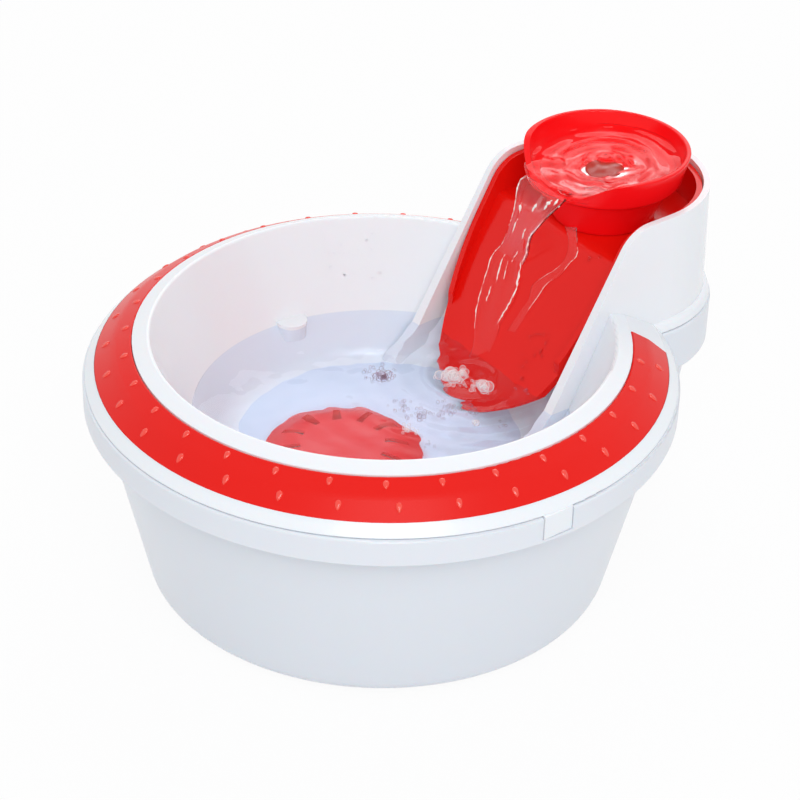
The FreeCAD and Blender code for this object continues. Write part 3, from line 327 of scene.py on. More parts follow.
def cellular(name, colour, hollow, cell, deep):
    """A porous surface: the hollow colour lies in the hollows between pale walls."""
    finish = Finish(name)
    cells = finish.node("ShaderNodeTexVoronoi")
    cells.inputs["Scale"].default_value = 1 / cell
    finish.link(finish.place, cells.inputs["Vector"])
    wall = finish.between(cells.outputs["Distance"], 0.0, 1.0, *CELL_EDGE)
    finish.feed(
        Base_Color=finish.blend(wall, linear(*hollow), linear(*colour)),
        Roughness=finish.between(wall, 0.85, 1.0),
    )
    finish.bump(cells.outputs["Distance"], CELL_STRENGTH, deep)
    return finish


ferrite = Finish("ferrite")
speck = ferrite.between(ferrite.cloud(SPECK), 0.0, 1.0, *SPECK_EDGE)
ferrite.feed(
    Base_Color=ferrite.blend(speck, linear(44, 44, 47), linear(64, 64, 68)),
    Roughness=ferrite.between(speck, 0.4, 0.6),
)
ferrite.bump(speck, SPECK_STRENGTH, SPECK_DEPTH)
ferrite.set(Metallic=0.4)
keep(
    # The foam's darker hollow colour is painted shade in its pores; the carbon's is its dark
    # grains.
    cellular("foam", (205, 212, 220), (140, 150, 164), 0.0012, 0.0008),
    cellular("carbon", (216, 214, 210), (120, 118, 118), 0.0016, 0.0004),
    ferrite,
)
print("finishes", sorted(finishes))

# %% [markdown]
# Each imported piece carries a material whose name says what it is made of. Swapping that material
# for the finish of the same name dresses the whole fountain, with no mesh touched.

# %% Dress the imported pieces
for piece in nodes.values():
    slot_name = piece.data.materials[0].name.split(".")[0]
    piece.data.materials[0] = finishes[slot_name].material
print("dressed", len(nodes))

# %% [markdown]
# The cup and the filter cover are of the same red plastic as the chute, but thinner, so more
# light comes through. They get their own finishes, with more subsurface scattering and a
# brighter base red, which is painted light. Part of the light passes through the cover and turns
# red on its way, so that the filter under it isn't dark: to a ray that carries light, the cover
# is nearly clear, and to the eye it is plain plastic.

# %% Brighter reds
LEAK = 0.88
LEAK_RED = (1.0, 0.12, 0.12, 1.0)
# The brighter base reds of the cup and the cover are painted light, for light that comes through
# their thin walls.
cup_red = moulded("cup_red", (255, 20, 26), (250, 16, 22), (0.12, 0.2), glow=0.3, shine=0.2)
cover_red = moulded("cover_red", (246, 22, 34), (240, 18, 28), (0.2, 0.3), glow=0.2, shine=0.25)
leak = cover_red.node("ShaderNodeBsdfTransparent")
leak.inputs["Color"].default_value = LEAK_RED
leaking = cover_red.part_of(cover_red.ray_is("Is Shadow Ray", "Is Diffuse Ray"), LEAK)
cover_red.show(leaking, cover_red.shader.outputs[0], leak.outputs[0], cover_red.surface)
nodes["cup"].data.materials[0] = cup_red.material
nodes["filter_cover"].data.materials[0] = cover_red.material
print("own reds", "cup", "filter_cover")

# %% [markdown]
# Water needs a closed surface, because light bends on its way in and on its way out. Where it
# touches the bowl, its surface lies a hair inside the plastic, so no film of air shows between
# them. Lamps can't find their way through a bent surface, so the water casts no shadow and is
# left out of the bounced light: the bowl is lit as if it were dry, and is seen through the water.

# %% Water
WATER_IOR = 1.333
FINE_RIPPLE = 0.006
FINE_RIPPLE_STRENGTH = 0.05
FINE_RIPPLE_DEPTH = 0.0006


def clear_water(name, tint, glare):
    """Clear water; glare is how much of the plain reflection it keeps when looked down on."""
    finish = Finish(name)
    ripple = finish.cloud(FINE_RIPPLE, detail=2.0)
    finish.bump(ripple, FINE_RIPPLE_STRENGTH, FINE_RIPPLE_DEPTH)
    finish.set(Base_Color=linear(*tint), Roughness=0.0, IOR=WATER_IOR, Transmission_Weight=1.0)
    finish.set(Specular_Tint=(glare, glare, glare, 1.0))
    return finish


def add_piece(name, form, finish, body):
    """A mesh piece that rides on a body; its form is its points and its faces."""
    points, faces = form
    mesh = bpy.data.meshes.new(name)
    mesh.from_pydata([tuple(p) for p in points], [], faces)
    mesh.validate()
    draft = bmesh.new()
    draft.from_mesh(mesh)
    bmesh.ops.recalc_face_normals(draft, faces=draft.faces)
    draft.to_mesh(mesh)
    draft.free()
    mesh.materials.append(finish.material)
    mesh.shade_smooth()
    piece = bpy.data.objects.new(name, mesh)
    bpy.context.scene.collection.objects.link(piece)
    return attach(piece, body)


def let_light_through(piece):
    """Lamps and bounced light pass the water; only what looks at it sees it."""
    piece.visible_shadow = False
    piece.visible_diffuse = False


print("water bends light by", WATER_IOR)

# %% [markdown]
# The pool fills the bowl up to a level well under the ring, where the photograph shows its edge.
# Its outline is found by looking outward from the axis: rays sent level from the axis towards the
# front meet the bowl's wall, and give its radius at each depth. A ray sent down in front of the
# filter's well finds the floor.

# %% Measure the bowl
WATER_BELOW_RING = 35.6
EMBED = 0.3
FRONT = Vector((0, -1, 0))
DOWN = Vector((0, 0, -1))
BEFORE_WELL = -62


def surface_of(node):
    """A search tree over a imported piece's own faces."""
    mesh = nodes[node].data
    return BVHTree.FromPolygons([v.co for v in mesh.vertices], [p.vertices for p in mesh.polygons])


bowl_surface = surface_of("upper_bowl")
water_level = ring_high.z / MM - WATER_BELOW_RING
bowl_floor = bowl_surface.ray_cast(at(0, BEFORE_WELL, water_level), DOWN)[0].z / MM


def wall_radius(height):
    """How far the bowl's wall is from its axis at a height, in millimetres."""
    hit = bowl_surface.ray_cast(at(0, 0, height), FRONT)[0]
    return (BOWL_Y - hit.y) / MM


print("water", round(water_level, 1), "wall", round(wall_radius(water_level), 1))

# %% [markdown]
# Falling water sends rings across the pool, which die out with distance, and a slight swell of
# noise lies under them. The height of the surface is the sum of these waves. It is kept in one
# function, because foam and bubbles float on the same surface.

# %% Ripples of the pool
SPLASH = Vector((2.0, 47.0))
# Height, length and reach of each ring wave, and height and length of each swell, in mm.
RING_WAVES = ((0.42, 11.0, 46.0), (0.2, 5.2, 22.0))
SWELL = ((0.55, 26.0), (0.22, 9.0), (0.08, 4.5))


def pool_height(x, y):
    """Height of the water over a point of the bowl, in millimetres."""
    away = math.hypot(x - SPLASH.x, y - SPLASH.y)
    height = water_level
    for size, length, fade in RING_WAVES:
        height += size * math.sin(2 * math.pi * away / length) * math.exp(-away / fade)
    for size, length in SWELL:
        height += size * noise.noise(Vector((x / length, y / length, length)))
    return height


print("height at the splash", round(pool_height(*SPLASH), 2))

# %% [markdown]
# All the water's forms are made in one way: rings of points, one after the other, with faces
# between neighbouring rings and a point that closes each end. A round pool, a strip of running
# water, a bubble and a drip differ only in where the rings lie.


# %% Forms made of rings
def turns(count):
    """The angles of even steps round a circle."""
    return [2 * math.pi * step / count for step in range(count)]


def ring_faces(levels, around, poles=2):
    """Faces between rings of points, with a point that closes the last ring, or both ends.

    The points come ring by ring, then the one for the first ring, if there are two poles, and
    then the one for the last ring.
    """
    steps = [(step, (step + 1) % around) for step in range(around)]
    faces = []
    for row in range(levels - 1):
        here, above = row * around, (row + 1) * around
        faces += [(here + a, here + b, above + b, above + a) for a, b in steps]
    last_ring, pole = (levels - 1) * around, levels * around
    if poles == 2:
        faces += [(pole, b, a) for a, b in steps]
        pole += 1
    faces += [(pole, last_ring + a, last_ring + b) for a, b in steps]
    return faces


def capped(points, around):
    """A closed form from rings of points; the middles of its end rings close it."""
    ends = [sum(ring, Vector()) / around for ring in (points[:around], points[-around:])]
    return points + ends, ring_faces(len(points) // around, around)


def gather(forms):
    """Several forms as one."""
    points, faces = [], []
    for more_points, more_faces in forms:
        first = len(points)
        points += more_points
        faces += [tuple(first + index for index in face) for face in more_faces]
    return points, faces


print("faces of a small ball", len(ring_faces(9, 16)))

# %% [markdown]
# The pool is the bowl's profile turned about the axis. Its lower rings lie on the bowl's wall,
# and its upper ones run inward over the surface with the ripples. The water is calm at its shore,
# so that its edge stays a clean line on the wall.

# %% The pool
POOL_AROUND = 240
POOL_RINGS = 76
POOL_DEPTHS = 10
SHORE = 4.0
bottom = bowl_floor - EMBED
shore_radius = wall_radius(water_level) + EMBED
points = []
for step in range(POOL_DEPTHS):
    height = bottom + (water_level - bowl_floor + EMBED) * step / POOL_DEPTHS
    radius = wall_radius(max(height, bowl_floor + EMBED)) + EMBED
    for angle in turns(POOL_AROUND):
        points.append(at(radius * math.cos(angle), radius * math.sin(angle), height))
for ring in range(POOL_RINGS, 0, -1):
    radius = shore_radius * ring / POOL_RINGS
    calm = min(1.0, (shore_radius - radius) / SHORE)
    for angle in turns(POOL_AROUND):
        x, y = radius * math.cos(angle), radius * math.sin(angle)
        points.append(at(x, y, water_level + (pool_height(x, y) - water_level) * calm))
points += [at(0, 0, bottom), at(0, 0, pool_height(0, 0))]
pool_form = (points, ring_faces(POOL_DEPTHS + POOL_RINGS, POOL_AROUND))
pool_water = clear_water("pool_water", (219, 232, 253), 0.4)
let_light_through(add_piece("pool", pool_form, pool_water, "bowl"))
print("pool points", len(points))

# %% [markdown]
# The run of water leaves the cup, falls free for a few centimetres, lands on the chute and
# spreads on it, then draws together again before it meets the pool. Beside it a thin film slides
# down the chute. Their left and right edges are given at ten or more stations, as seen in the
# photograph, and curves are drawn through them.


# %% Curves through given stations
def along(stations, share):
    """A smooth curve through the stations (Catmull-Rom), at a share of its way."""
    last = len(stations) - 1
    where = min(share * last, last - 1e-6)
    index = int(where)
    part = where - index
    p0, p1, p2, p3 = (
        Vector(stations[min(max(index + step, 0), last)]) for step in (-1, 0, 1, 2)
    )
    curve = 2 * p1 + (p2 - p0) * part
    curve += (2 * p0 - 5 * p1 + 4 * p2 - p3) * part**2
    curve += (3 * p1 - p0 - 3 * p2 + p3) * part**3
    return curve / 2


# Left and right edges of the run and of the film, in millimetres about the bowl's axis.
RUN_LEFT = (
    (-13.6, 86.4, 154.2), (-14.8, 84.4, 152), (-15.6, 83.6, 147), (-16, 83.2, 138),
    (-19, 83.5, 129), (-24, 84, 117), (-27.1, 81.4, 110.6), (-25.1, 75.7, 101.8),
    (-23.2, 71.8, 95.8), (-20.7, 68.1, 90.1), (-17.7, 65.2, 85.6), (-13.4, 61.3, 79.6),
    (-11, 57, 73),
)
RUN_RIGHT = (
    (13.4, 86.4, 154.2), (12.2, 84.4, 151.5), (6.4, 83.4, 144), (0.6, 83.2, 136),
    (-4, 83.5, 129), (-6.1, 84, 119.6), (-8.1, 83, 113.2), (-5, 79.5, 107.7),
    (-3.1, 75.1, 100.9), (-3.6, 71.9, 95.9), (-4.1, 68.7, 91.0), (-2.8, 65.9, 86.7),
    (-1, 58, 73),
)
FILM_LEFT = (
    (3, 96, 133.5), (8.5, 93.6, 129.8), (11, 90.2, 124.4), (9.5, 86.6, 118.9), (5.0, 83.4, 113.9),
    (1.8, 80.2, 109.0), (3.6, 77.2, 104.2), (2.6, 74.4, 99.9), (1.8, 71.2, 94.9), (1.0, 68.1, 90.1),
)
FILM_RIGHT = (
    (9.2, 97.3, 135.3), (13.0, 94.7, 131.3), (16.6, 92.1, 127.3), (15, 89.3, 123.0),
    (13.4, 85.9, 117.7), (9.6, 82.6, 112.6), (8.2, 78.9, 106.9), (7.0, 75.6, 101.8),
    (6.2, 71.8, 95.9), (5.3, 68.7, 91.1),
)
# Edges, thickness in millimetres, and where in the noise the ridges are read.
RUN = (RUN_LEFT, RUN_RIGHT, 1.5, 2.0)
FILM = (FILM_LEFT, FILM_RIGHT, 0.5, 9.0)
print("stations", len(RUN_LEFT), len(FILM_LEFT))

# %% [markdown]
# A strip of water is built station by station. Each station is a closed loop: its front carries
# the thickness, and its back is a shallow curve, a hair inside the chute where the water runs on
# it. Across the strip the water is thick near its two edges, like a rope on each side, and thin
# with a few ridges between them.

# %% A strip of running water
LOOK_AROUND = 0.01
ROPE_PLACE, ROPE_WIDTH = 0.84, 0.14
BODY_SHARE, ROPE_SHARE, RIDGE_SHARE = 0.4, 0.8, 0.35
# Ridges, coarse and fine: how close across and along, where in the noise, and how strong.
RIDGES = ((2.4, 3.0, 0, 1.0), (6.0, 12.0, 7, 0.4))
END_TAPER, END_SHARE = 0.12, 0.05
THINNEST = 0.05
BACK = 0.25


def round_off(side):
    """1 in the middle of a strip and 0 at its edges, as half a circle."""
    return math.sqrt(max(0.0, 1 - side**2))


def run_place(run, side, share):
    """Where a strip lies, which way it faces, and how thick it is there."""
    left, right, thick, seed = run
    start, end = along(left, share), along(right, share)
    later, earlier = min(share + LOOK_AROUND, 1), max(share - LOOK_AROUND, 0)
    ahead = along(left, later) + along(right, later)
    behind = along(left, earlier) + along(right, earlier)
    out = (end - start).cross(ahead - behind).normalized()
    out = -out if out.y > 0 else out
    rope = math.exp(-(((abs(side) - ROPE_PLACE) / ROPE_WIDTH) ** 2))
    ridge = 0.0
    for closeness, length, shift, strength in RIDGES:
        spot = Vector((side * closeness, share * length, seed + shift))
        ridge += strength * noise.noise(spot)
    shares = BODY_SHARE + ROPE_SHARE * rope + RIDGE_SHARE * ridge
    height = thick * round_off(side) * shares
    height *= min(1.0, (1 - share) / END_TAPER + END_SHARE)
    return start.lerp(end, (side + 1) / 2), out, max(height, THINNEST)


def running_water(name, run, body, rows, across):
    """A closed strip of water between two edges, thick at its edges and ridged between."""
    points = []
    for row in range(rows):
        front, rear = [], []
        for step in range(across + 1):
            side = -1 + 2 * step / across
            base, out, height = run_place(run, side, row / (rows - 1))
            front.append(base + out * height)
            rear.append(base - out * BACK * round_off(side))
        points += [at(*p) for p in front + rear[-2:0:-1]]
    let_light_through(add_piece(name, capped(points, 2 * across), run_water, body))


run_water = clear_water("run_water", (253, 253, 255), 1.0)
running_water("water_run", RUN, "chute", rows=120, across=28)
running_water("water_film", FILM, "chute", rows=80, across=16)
print("run and film")

# %% [markdown]
# Moving water flashes where it is steep: along its two edges, on the crests between them and
# where it bends over the lip. These flashes are threads of fine air bubbles and glints of light,
# so they are built as thin white threads on the run's own surface: the bubbles' own white, and a
# painted highlight for the glints. Each thread is a flat tube, whose width swells and breaks off
# along its way.

# %% White threads on the run
THREAD_STEPS = 48
THREAD_AROUND = 8
THREAD_FLAT = 0.4
WANDER = 0.05
WANDER_NOISE = (30, 9, 1)
SIDESTEP = 0.05
MEAN_WIDTH, WIDTH_SWING, LEAST_WIDTH = 0.6, 1.1, 0.12
WIDTH_NOISE = (70, 5, 8)


def thread_noise(share, side, settings):
    """Noise along a thread, from how close it is along and across, and where it is read."""
    length, closeness, seed = settings
    return noise.noise(Vector((share * length, side * closeness, seed)))


def thread(run, side, begin, end, width):
    """One flat white thread that lies on a run, from one share of its way to another."""
    points = []
    for step in range(THREAD_STEPS + 1):
        share = begin + (end - begin) * step / THREAD_STEPS
        where = side + WANDER * thread_noise(share, side, WANDER_NOISE)
        base, out, height = run_place(run, where, share)
        across = (run_place(run, where + SIDESTEP, share)[0] - base).normalized()
        broken = MEAN_WIDTH + WIDTH_SWING * thread_noise(share, side, WIDTH_NOISE)
        ends = math.sin(math.pi * (step + 0.5) / (THREAD_STEPS + 1)) ** 0.5
        size = width * max(LEAST_WIDTH, broken) * ends
        for angle in turns(THREAD_AROUND):
            spot = base + out * (height + THREAD_FLAT * size * math.sin(angle))
            points.append(at(*(spot + across * size * math.cos(angle))))
    return capped(points, THREAD_AROUND)


# Side of the run (-1 left, 1 right), where a thread begins and ends, and its half width in mm.
RUN_THREADS = (
    (-0.94, 0.03, 0.34, 0.5), (-0.92, 0.37, 0.62, 0.4), (-0.9, 0.6, 0.86, 0.45),
    (0.9, 0.3, 0.47, 0.5), (0.9, 0.45, 0.66, 0.6), (0.85, 0.64, 0.84, 0.5),
    (-0.25, 0.47, 0.6, 0.45), (0.12, 0.5, 0.58, 0.5), (0.3, 0.42, 0.5, 0.4),
    (-0.45, 0.62, 0.7, 0.4), (0.35, 0.3, 0.36, 0.6), (-0.5, 0.28, 0.36, 0.5),
    (0.62, 0.08, 0.15, 1.3), (0.82, 0.05, 0.1, 0.9), (0.2, 0.15, 0.2, 1.0), (-0.55, 0.2, 0.25, 0.9),
)
FILM_THREADS = ((0.9, 0.16, 0.4, 0.3), (-0.85, 0.3, 0.5, 0.25), (0.8, 0.5, 0.8, 0.25))
# The threads' white is partly the bubbles' own colour and partly a painted highlight for the
# glints.
bubbles_and_painted_glints = moulded("bubbles_and_painted_glints", (255, 249, 244), (250, 238, 232), (0.1, 0.2))
threads = [thread(RUN, *settings) for settings in RUN_THREADS]
threads += [thread(FILM, *settings) for settings in FILM_THREADS]
let_light_through(add_piece("water_threads", gather(threads), bubbles_and_painted_glints, "chute"))
print("threads", len(threads))

# %% [markdown]
# The cup is filled from below, so its water wells up in the middle in a low round dome, with a
# hollow around it and uneven rings beyond. The surface falls a little towards the spout, and
# curls down over its lip.

# %% Surface of the cup's water
CUP_LEVEL = 157.0
CUP_FALL, FALL_LENGTH = 1.6, 30
CURL, CURL_START, CURL_LENGTH = 2.2, 32.0, 3.0
SPOUT_HALF = 14.0
WELL_RISE, WELL_REACH = 2.4, 8.0
HOLLOW, HOLLOW_PLACE, HOLLOW_REACH = 1.3, 13, 3.8
WAVE, WAVE_LENGTH, WAVE_BEND = 0.4, 6.2, 3
WAVE_START, WAVE_FADE = 10, 20
UNEVEN, UNEVEN_LENGTH, UNEVEN_SEED = 0.8, 9, 4


def cup_height(x, y):
    """Height of the cup's water, x and y in millimetres about the tower's axis."""
    away = math.hypot(x, y)
    drift = noise.noise(Vector((x / UNEVEN_LENGTH, y / UNEVEN_LENGTH, UNEVEN_SEED)))
    dome = WELL_RISE * math.exp(-((away / WELL_REACH) ** 2))
    dome -= HOLLOW * math.exp(-(((away - HOLLOW_PLACE) / HOLLOW_REACH) ** 2))
    rings = WAVE * math.sin(2 * math.pi * (away + WAVE_BEND * drift) / WAVE_LENGTH)
    rings *= math.exp(-max(away - WAVE_START, 0) / WAVE_FADE)
    curl = 0.0
    if y < 0 and abs(x) < SPOUT_HALF:
        curl = CURL * max(0.0, (away - CURL_START) / CURL_LENGTH) ** 2
    return CUP_LEVEL + dome + rings + UNEVEN * drift + CUP_FALL * y / FALL_LENGTH - curl


print("top of the well", round(cup_height(0, 0), 2))

# %% [markdown]
# Rays find the cup's wall and its floor, and the water's rim and underside lie a hair inside
# them. At the spout a ray finds no wall, and there the water reaches to the lip. Over the mouth
# of the tube it finds no floor, and there the water is given a depth of its own.

# %% Water in the cup
CUP_FLOOR = 150.0
LEAST_DEPTH = 1.5
THIN_WATER = 0.3
SPOUT_REACH = 35.2
WIDEST = 33.0
RIM_MARGIN = 1.5
CUP_RINGS = 44
CUP_AROUND = 160
PROBE_START = 20 * MM
PROBE_ABOVE = 1
cup_surface = surface_of("cup")


def cup_wall(height, angle):
    """Distance from the tower's axis to the cup's inner wall, in mm, or None at the spout."""
    start = at(0, TOWER_BACK, height)
    away = Vector((math.cos(angle), math.sin(angle), 0))
    hit = cup_surface.ray_cast(start + away * PROBE_START, away)[0]
    return None if hit is None else (hit - start).length / MM


def cup_floor(x, y):
    """Height of the cup's inside, a hair into the plastic, x and y about the tower's axis."""
    hit = cup_surface.ray_cast(at(x, TOWER_BACK + y, CUP_LEVEL + PROBE_ABOVE), DOWN)[0]
    low = CUP_FLOOR if hit is None else max(hit.z / MM - EMBED, CUP_FLOOR)
    return min(low, CUP_LEVEL - CUP_FALL - LEAST_DEPTH)


walls = [cup_wall(CUP_LEVEL, angle) for angle in turns(CUP_AROUND)]
rims = [SPOUT_REACH if wall is None else min(wall, WIDEST) + EMBED for wall in walls]
undersides, tops = [], []
for ring in range(CUP_RINGS, 0, -1):
    underside, top = [], []
    for rim, angle in zip(rims, turns(CUP_AROUND)):
        radius = rim * ring / CUP_RINGS
        x, y = radius * math.cos(angle), radius * math.sin(angle)
        inside = min(1.0, (WIDEST - RIM_MARGIN) / radius)
        low = cup_floor(x * inside, y * inside)
        underside.append(at(x, TOWER_BACK + y, low))
        top.append(at(x, TOWER_BACK + y, max(cup_height(x, y), low + THIN_WATER)))
    undersides.append(underside)
    tops.append(top)
points = [point for ring in undersides[::-1] + tops for point in ring]
points += [at(0, TOWER_BACK, cup_floor(0, 0)), at(0, TOWER_BACK, cup_height(0, 0))]
thin_water = clear_water("thin_water", (253, 253, 255), 0.25)
cup_form = (points, ring_faces(2 * CUP_RINGS, CUP_AROUND))
let_light_through(add_piece("cup_water", cup_form, thin_water, "cup"))
print("cup water", len(points))

# %% [markdown]
# In the middle of the cup's floor is the mouth of the riser tube. The water that wells up there
# comes out of the dark, so the mouth shows as a brownish round patch under the rings. It is
# drawn as the low dome of that water, in an opaque brown-red that is painted shade: the dark
# inside of the tube. Its reach is found by probing the floor outward from the axis, until a ray
# meets plastic.

# %% The mouth of the tube
MOUTH_STEP = 0.25
MOUTH_OVER = 0.8
MOUTH_RISE = 1.2
MOUTH_AROUND = 32
MOUTH_ROWS = 6
mouth = 0.0
while cup_surface.ray_cast(at(mouth, TOWER_BACK, CUP_LEVEL), DOWN)[0] is None:
    mouth += MOUTH_STEP
mouth += MOUTH_OVER
mouth_floor = cup_floor(mouth + EMBED, 0)


def dome(rows, around, spot):
    """Rings of points from a dome's rim up; spot gives a point from its tilt and its turn."""
    tilts = [math.pi / 2 * (1 - row / rows) for row in range(rows)]
    return [spot(tilt, angle) for tilt in tilts for angle in turns(around)]


def mouth_spot(tilt, angle):
    reach = mouth * math.sin(tilt)
    x, y = reach * math.cos(angle), reach * math.sin(angle)
    return at(x, TOWER_BACK + y, mouth_floor + MOUTH_RISE * math.cos(tilt))


points = dome(MOUTH_ROWS, MOUTH_AROUND, mouth_spot)
points += [at(0, TOWER_BACK, mouth_floor + rise) for rise in (0, MOUTH_RISE)]
mouth_form = (points, ring_faces(MOUTH_ROWS, MOUTH_AROUND))
# The mouth's dome is painted shade: an opaque dark brown-red where the dark inside of the tube
# shows.
painted_mouth_shade = moulded("painted_mouth_shade", (188, 62, 48), (160, 44, 34), (0.1, 0.2), patch=0.006)
add_piece("mouth_water", mouth_form, painted_mouth_shade, "cup")
print("mouth radius", round(mouth, 2), "floor", round(mouth_floor, 2))

# %% [markdown]
# Foam is air: bubbles of a film too thin to bend light. What one sees of such a bubble is its
# outline, where the eye looks along the film. So each bubble is a plain ball whose skin is clear
# in the middle and fills in towards its outline. The colour it fills in with is a painted
# reflection: white on the foam, and a mauve grey on the pool's bubbles.

# %% Skin of a bubble
SKIN_EDGE = (0.3, 0.8)
SKIN_PATCH = 0.002
SKIN_SHADE = 0.8


def film(name, colour, clear, full):
    """The skin of a bubble: clear where it faces the eye, filled in at its outline with a painted
    reflection.
    """
    finish = Finish(name)
    facing = finish.node("ShaderNodeLayerWeight").outputs["Facing"]
    light = linear(*colour)
    shade = tuple(channel * SKIN_SHADE for channel in light[:3]) + (1.0,)
    cloudy = finish.between(finish.cloud(SKIN_PATCH), 0.0, 1.0, *SPECK_EDGE)
    finish.feed(
        Alpha=finish.between(facing, clear, full, *SKIN_EDGE),
        Base_Color=finish.blend(cloudy, light, shade),
    )
    finish.set(Roughness=0.05, IOR=WATER_IOR, Specular_IOR_Level=1.0)
    return finish


# The skins' white and mauve grey are painted reflections at the bubbles' outlines.
painted_white_rim = film("painted_white_rim", (255, 248, 250), 0.12, 1.0)
painted_grey_rim = film("painted_grey_rim", (168, 138, 160), 0.03, 0.75)
print("skins", painted_white_rim.name, painted_grey_rim.name)

# %% [markdown]
# Foam with painted white rims lies where the run meets the pool, and finer bubbles with painted
# grey rims drift away from it. A cluster scatters bubbles around a middle, small ones outside and
# large ones inside. The draws are seeded, so that every run of this lesson gives the same bubbles.

# %% Bubbles
BALL_ROWS = 10
BALL_AROUND = 16
# The first power spreads the bubbles outward, and the second keeps most of them small.
OUTWARD = 0.7
MOSTLY_SMALL = 2
SMALLER_OUTSIDE = 0.5
LEAST_LIFT, MOST_LIFT = 0.3, 0.7
# Clusters: middle, reach, count, smallest and largest radius, in millimetres.
WHITE_CLUSTERS = (
    ((0.5, 38.5), 6.0, 11, 1.8, 4.0),
    ((0.5, 38.5), 7.5, 34, 0.6, 1.6),
    ((-1.0, 44.0), 3.5, 8, 0.8, 2.0),
    ((14.5, 43.0), 3.5, 5, 1.8, 3.2),
    ((14.5, 43.0), 5.0, 14, 0.6, 1.4),
    ((6.0, 42.0), 5.0, 12, 0.4, 1.0),
    ((21.0, -3.0), 5.0, 16, 0.5, 1.5),
    ((33.0, 23.7), 1.5, 3, 1.0, 1.8),
)
GREY_CLUSTERS = (
    ((-20.7, 15.3), 7.5, 44, 0.45, 1.3),
    ((-16.5, 14.0), 4.0, 9, 1.2, 2.4),
    ((3.8, 7.3), 5.5, 22, 0.4, 1.0),
    ((14.4, 8.7), 5.5, 22, 0.5, 1.3),
    ((18.0, 20.4), 7.0, 30, 0.45, 1.3),
    ((24.9, 29.1), 4.0, 12, 0.5, 1.5),
    ((35.2, -1.3), 3.5, 7, 0.4, 0.8),
    ((41.8, 33.6), 3.5, 6, 0.4, 0.8),
    ((26.0, 60.0), 6.0, 12, 0.4, 0.9),
)
chance = random.Random(7)


def ball(centre, radius):
    """One ball, in rings from its top down."""
    points = []
    for row in range(1, BALL_ROWS):
        tilt = math.pi * row / BALL_ROWS
        for angle in turns(BALL_AROUND):
            wide = math.sin(tilt)
            spot = Vector((wide * math.cos(angle), wide * math.sin(angle), math.cos(tilt)))
            points.append(at(*(centre + spot * radius)))
    points += [at(centre.x, centre.y, centre.z + rise) for rise in (radius, -radius)]
    return points, ring_faces(BALL_ROWS - 1, BALL_AROUND)


def scatter_bubbles(name, clusters, skin):
    """One piece that holds every bubble of some clusters."""
    balls = []
    for (x, y), reach, count, small, large in clusters:
        for number in range(count):
            angle = chance.uniform(0, 2 * math.pi)
            away = reach * chance.random() ** OUTWARD
            inward = 1 - SMALLER_OUTSIDE * away / reach
            radius = small + (large - small) * chance.random() ** MOSTLY_SMALL * inward
            bx, by = x + away * math.cos(angle), y + away * math.sin(angle)
            lift = radius * chance.uniform(LEAST_LIFT, MOST_LIFT)
            balls.append(ball(Vector((bx, by, pool_height(bx, by) + lift)), radius))
    let_light_through(add_piece(name, gather(balls), skin, "bowl"))
    print(name, len(balls))


scatter_bubbles("foam_bubbles", WHITE_CLUSTERS, painted_white_rim)
scatter_bubbles("pool_bubbles", GREY_CLUSTERS, painted_grey_rim)

# %% [markdown]
# Small drips cling to the bowl's wall and to the chute where water has splashed. A drip is a low
# dome of water, flattened along the surface it sits on. Each is dropped onto the plastic by a
# ray, and lies along the surface's own direction there.

# %% Drips
DRIP_ROWS = 5
DRIP_AROUND = 12
DRIP_FLAT = 0.45
DRIP_SINK = 0.1


def drip(surface, start, direction, radius):
    """A low dome of water where a ray meets a surface, or nothing where it meets none."""
    hit, normal = surface.ray_cast(start, direction)[:2]
    if hit is None:
        return [], []
    if normal.dot(direction) > 0:
        normal = -normal
    side = normal.orthogonal().normalized()
    other = normal.cross(side)
    size = radius * MM
    base = hit - normal * size * DRIP_SINK

    def spot(tilt, angle):
        flatways = side * math.cos(angle) + other * math.sin(angle)
        rise = normal * size * DRIP_FLAT * math.cos(tilt)
        return base + flatways * size * math.sin(tilt) + rise

    points = dome(DRIP_ROWS, DRIP_AROUND, spot)
    points += [base, base + normal * size * DRIP_FLAT]
    return points, ring_faces(DRIP_ROWS, DRIP_AROUND)


# Patches of drips: angle about the bowl's axis in degrees, height, spread of each, and count.
WALL_DRIPS = ((152, 104, 9, 4, 9), (157, 96, 7, 5, 7), (149, 88, 6, 5, 5))
WALL_DRIP_SIZES = (0.3, 0.7)
drips = []
for degrees, height, spread, rise, count in WALL_DRIPS:
    for number in range(count):
        angle = math.radians(degrees + chance.uniform(-spread, spread))
        start = at(0, 0, height + chance.uniform(-rise, rise))
        away = Vector((math.cos(angle), math.sin(angle), 0))
        drips.append(drip(bowl_surface, start, away, chance.uniform(*WALL_DRIP_SIZES)))
add_piece("bowl_drips", gather(drips), thin_water, "bowl")

# Places of small groups of drips on the chute, seen from above.
CHUTE_DRIPS = ((16.8, 70.4), (21.9, 71.2), (22.1, 67.6), (17.6, 64.0), (18.8, 61.9), (25.6, 93.8))
CHUTE_DRIP_SIZES = (0.4, 1.0)
IN_GROUP, GROUP_WIDE, GROUP_LONG = 5, 3, 1.6
ABOVE_CHUTE = 200
chute_surface = surface_of("chute")
drips = []
for x, y in CHUTE_DRIPS:
    for number in range(IN_GROUP):
        sideways = chance.uniform(-GROUP_WIDE, GROUP_WIDE)
        lengthways = chance.uniform(-GROUP_LONG, GROUP_LONG)
        start = at(x + sideways, y + lengthways, ABOVE_CHUTE)
        drips.append(drip(chute_surface, start, DOWN, chance.uniform(*CHUTE_DRIP_SIZES)))
add_piece("chute_drips", gather(drips), thin_water, "chute")
print("drips placed")

# %% [markdown]
# The soft ring carries two rows of low raised drops, longer towards the rim than across. They
# are part of the rubber, and stand a little out of its crowned surface. Paws and rags polish
# such small heights, so their finish is the ring's red and glossier. Their red is also a little
# lighter, which is a painted highlight.

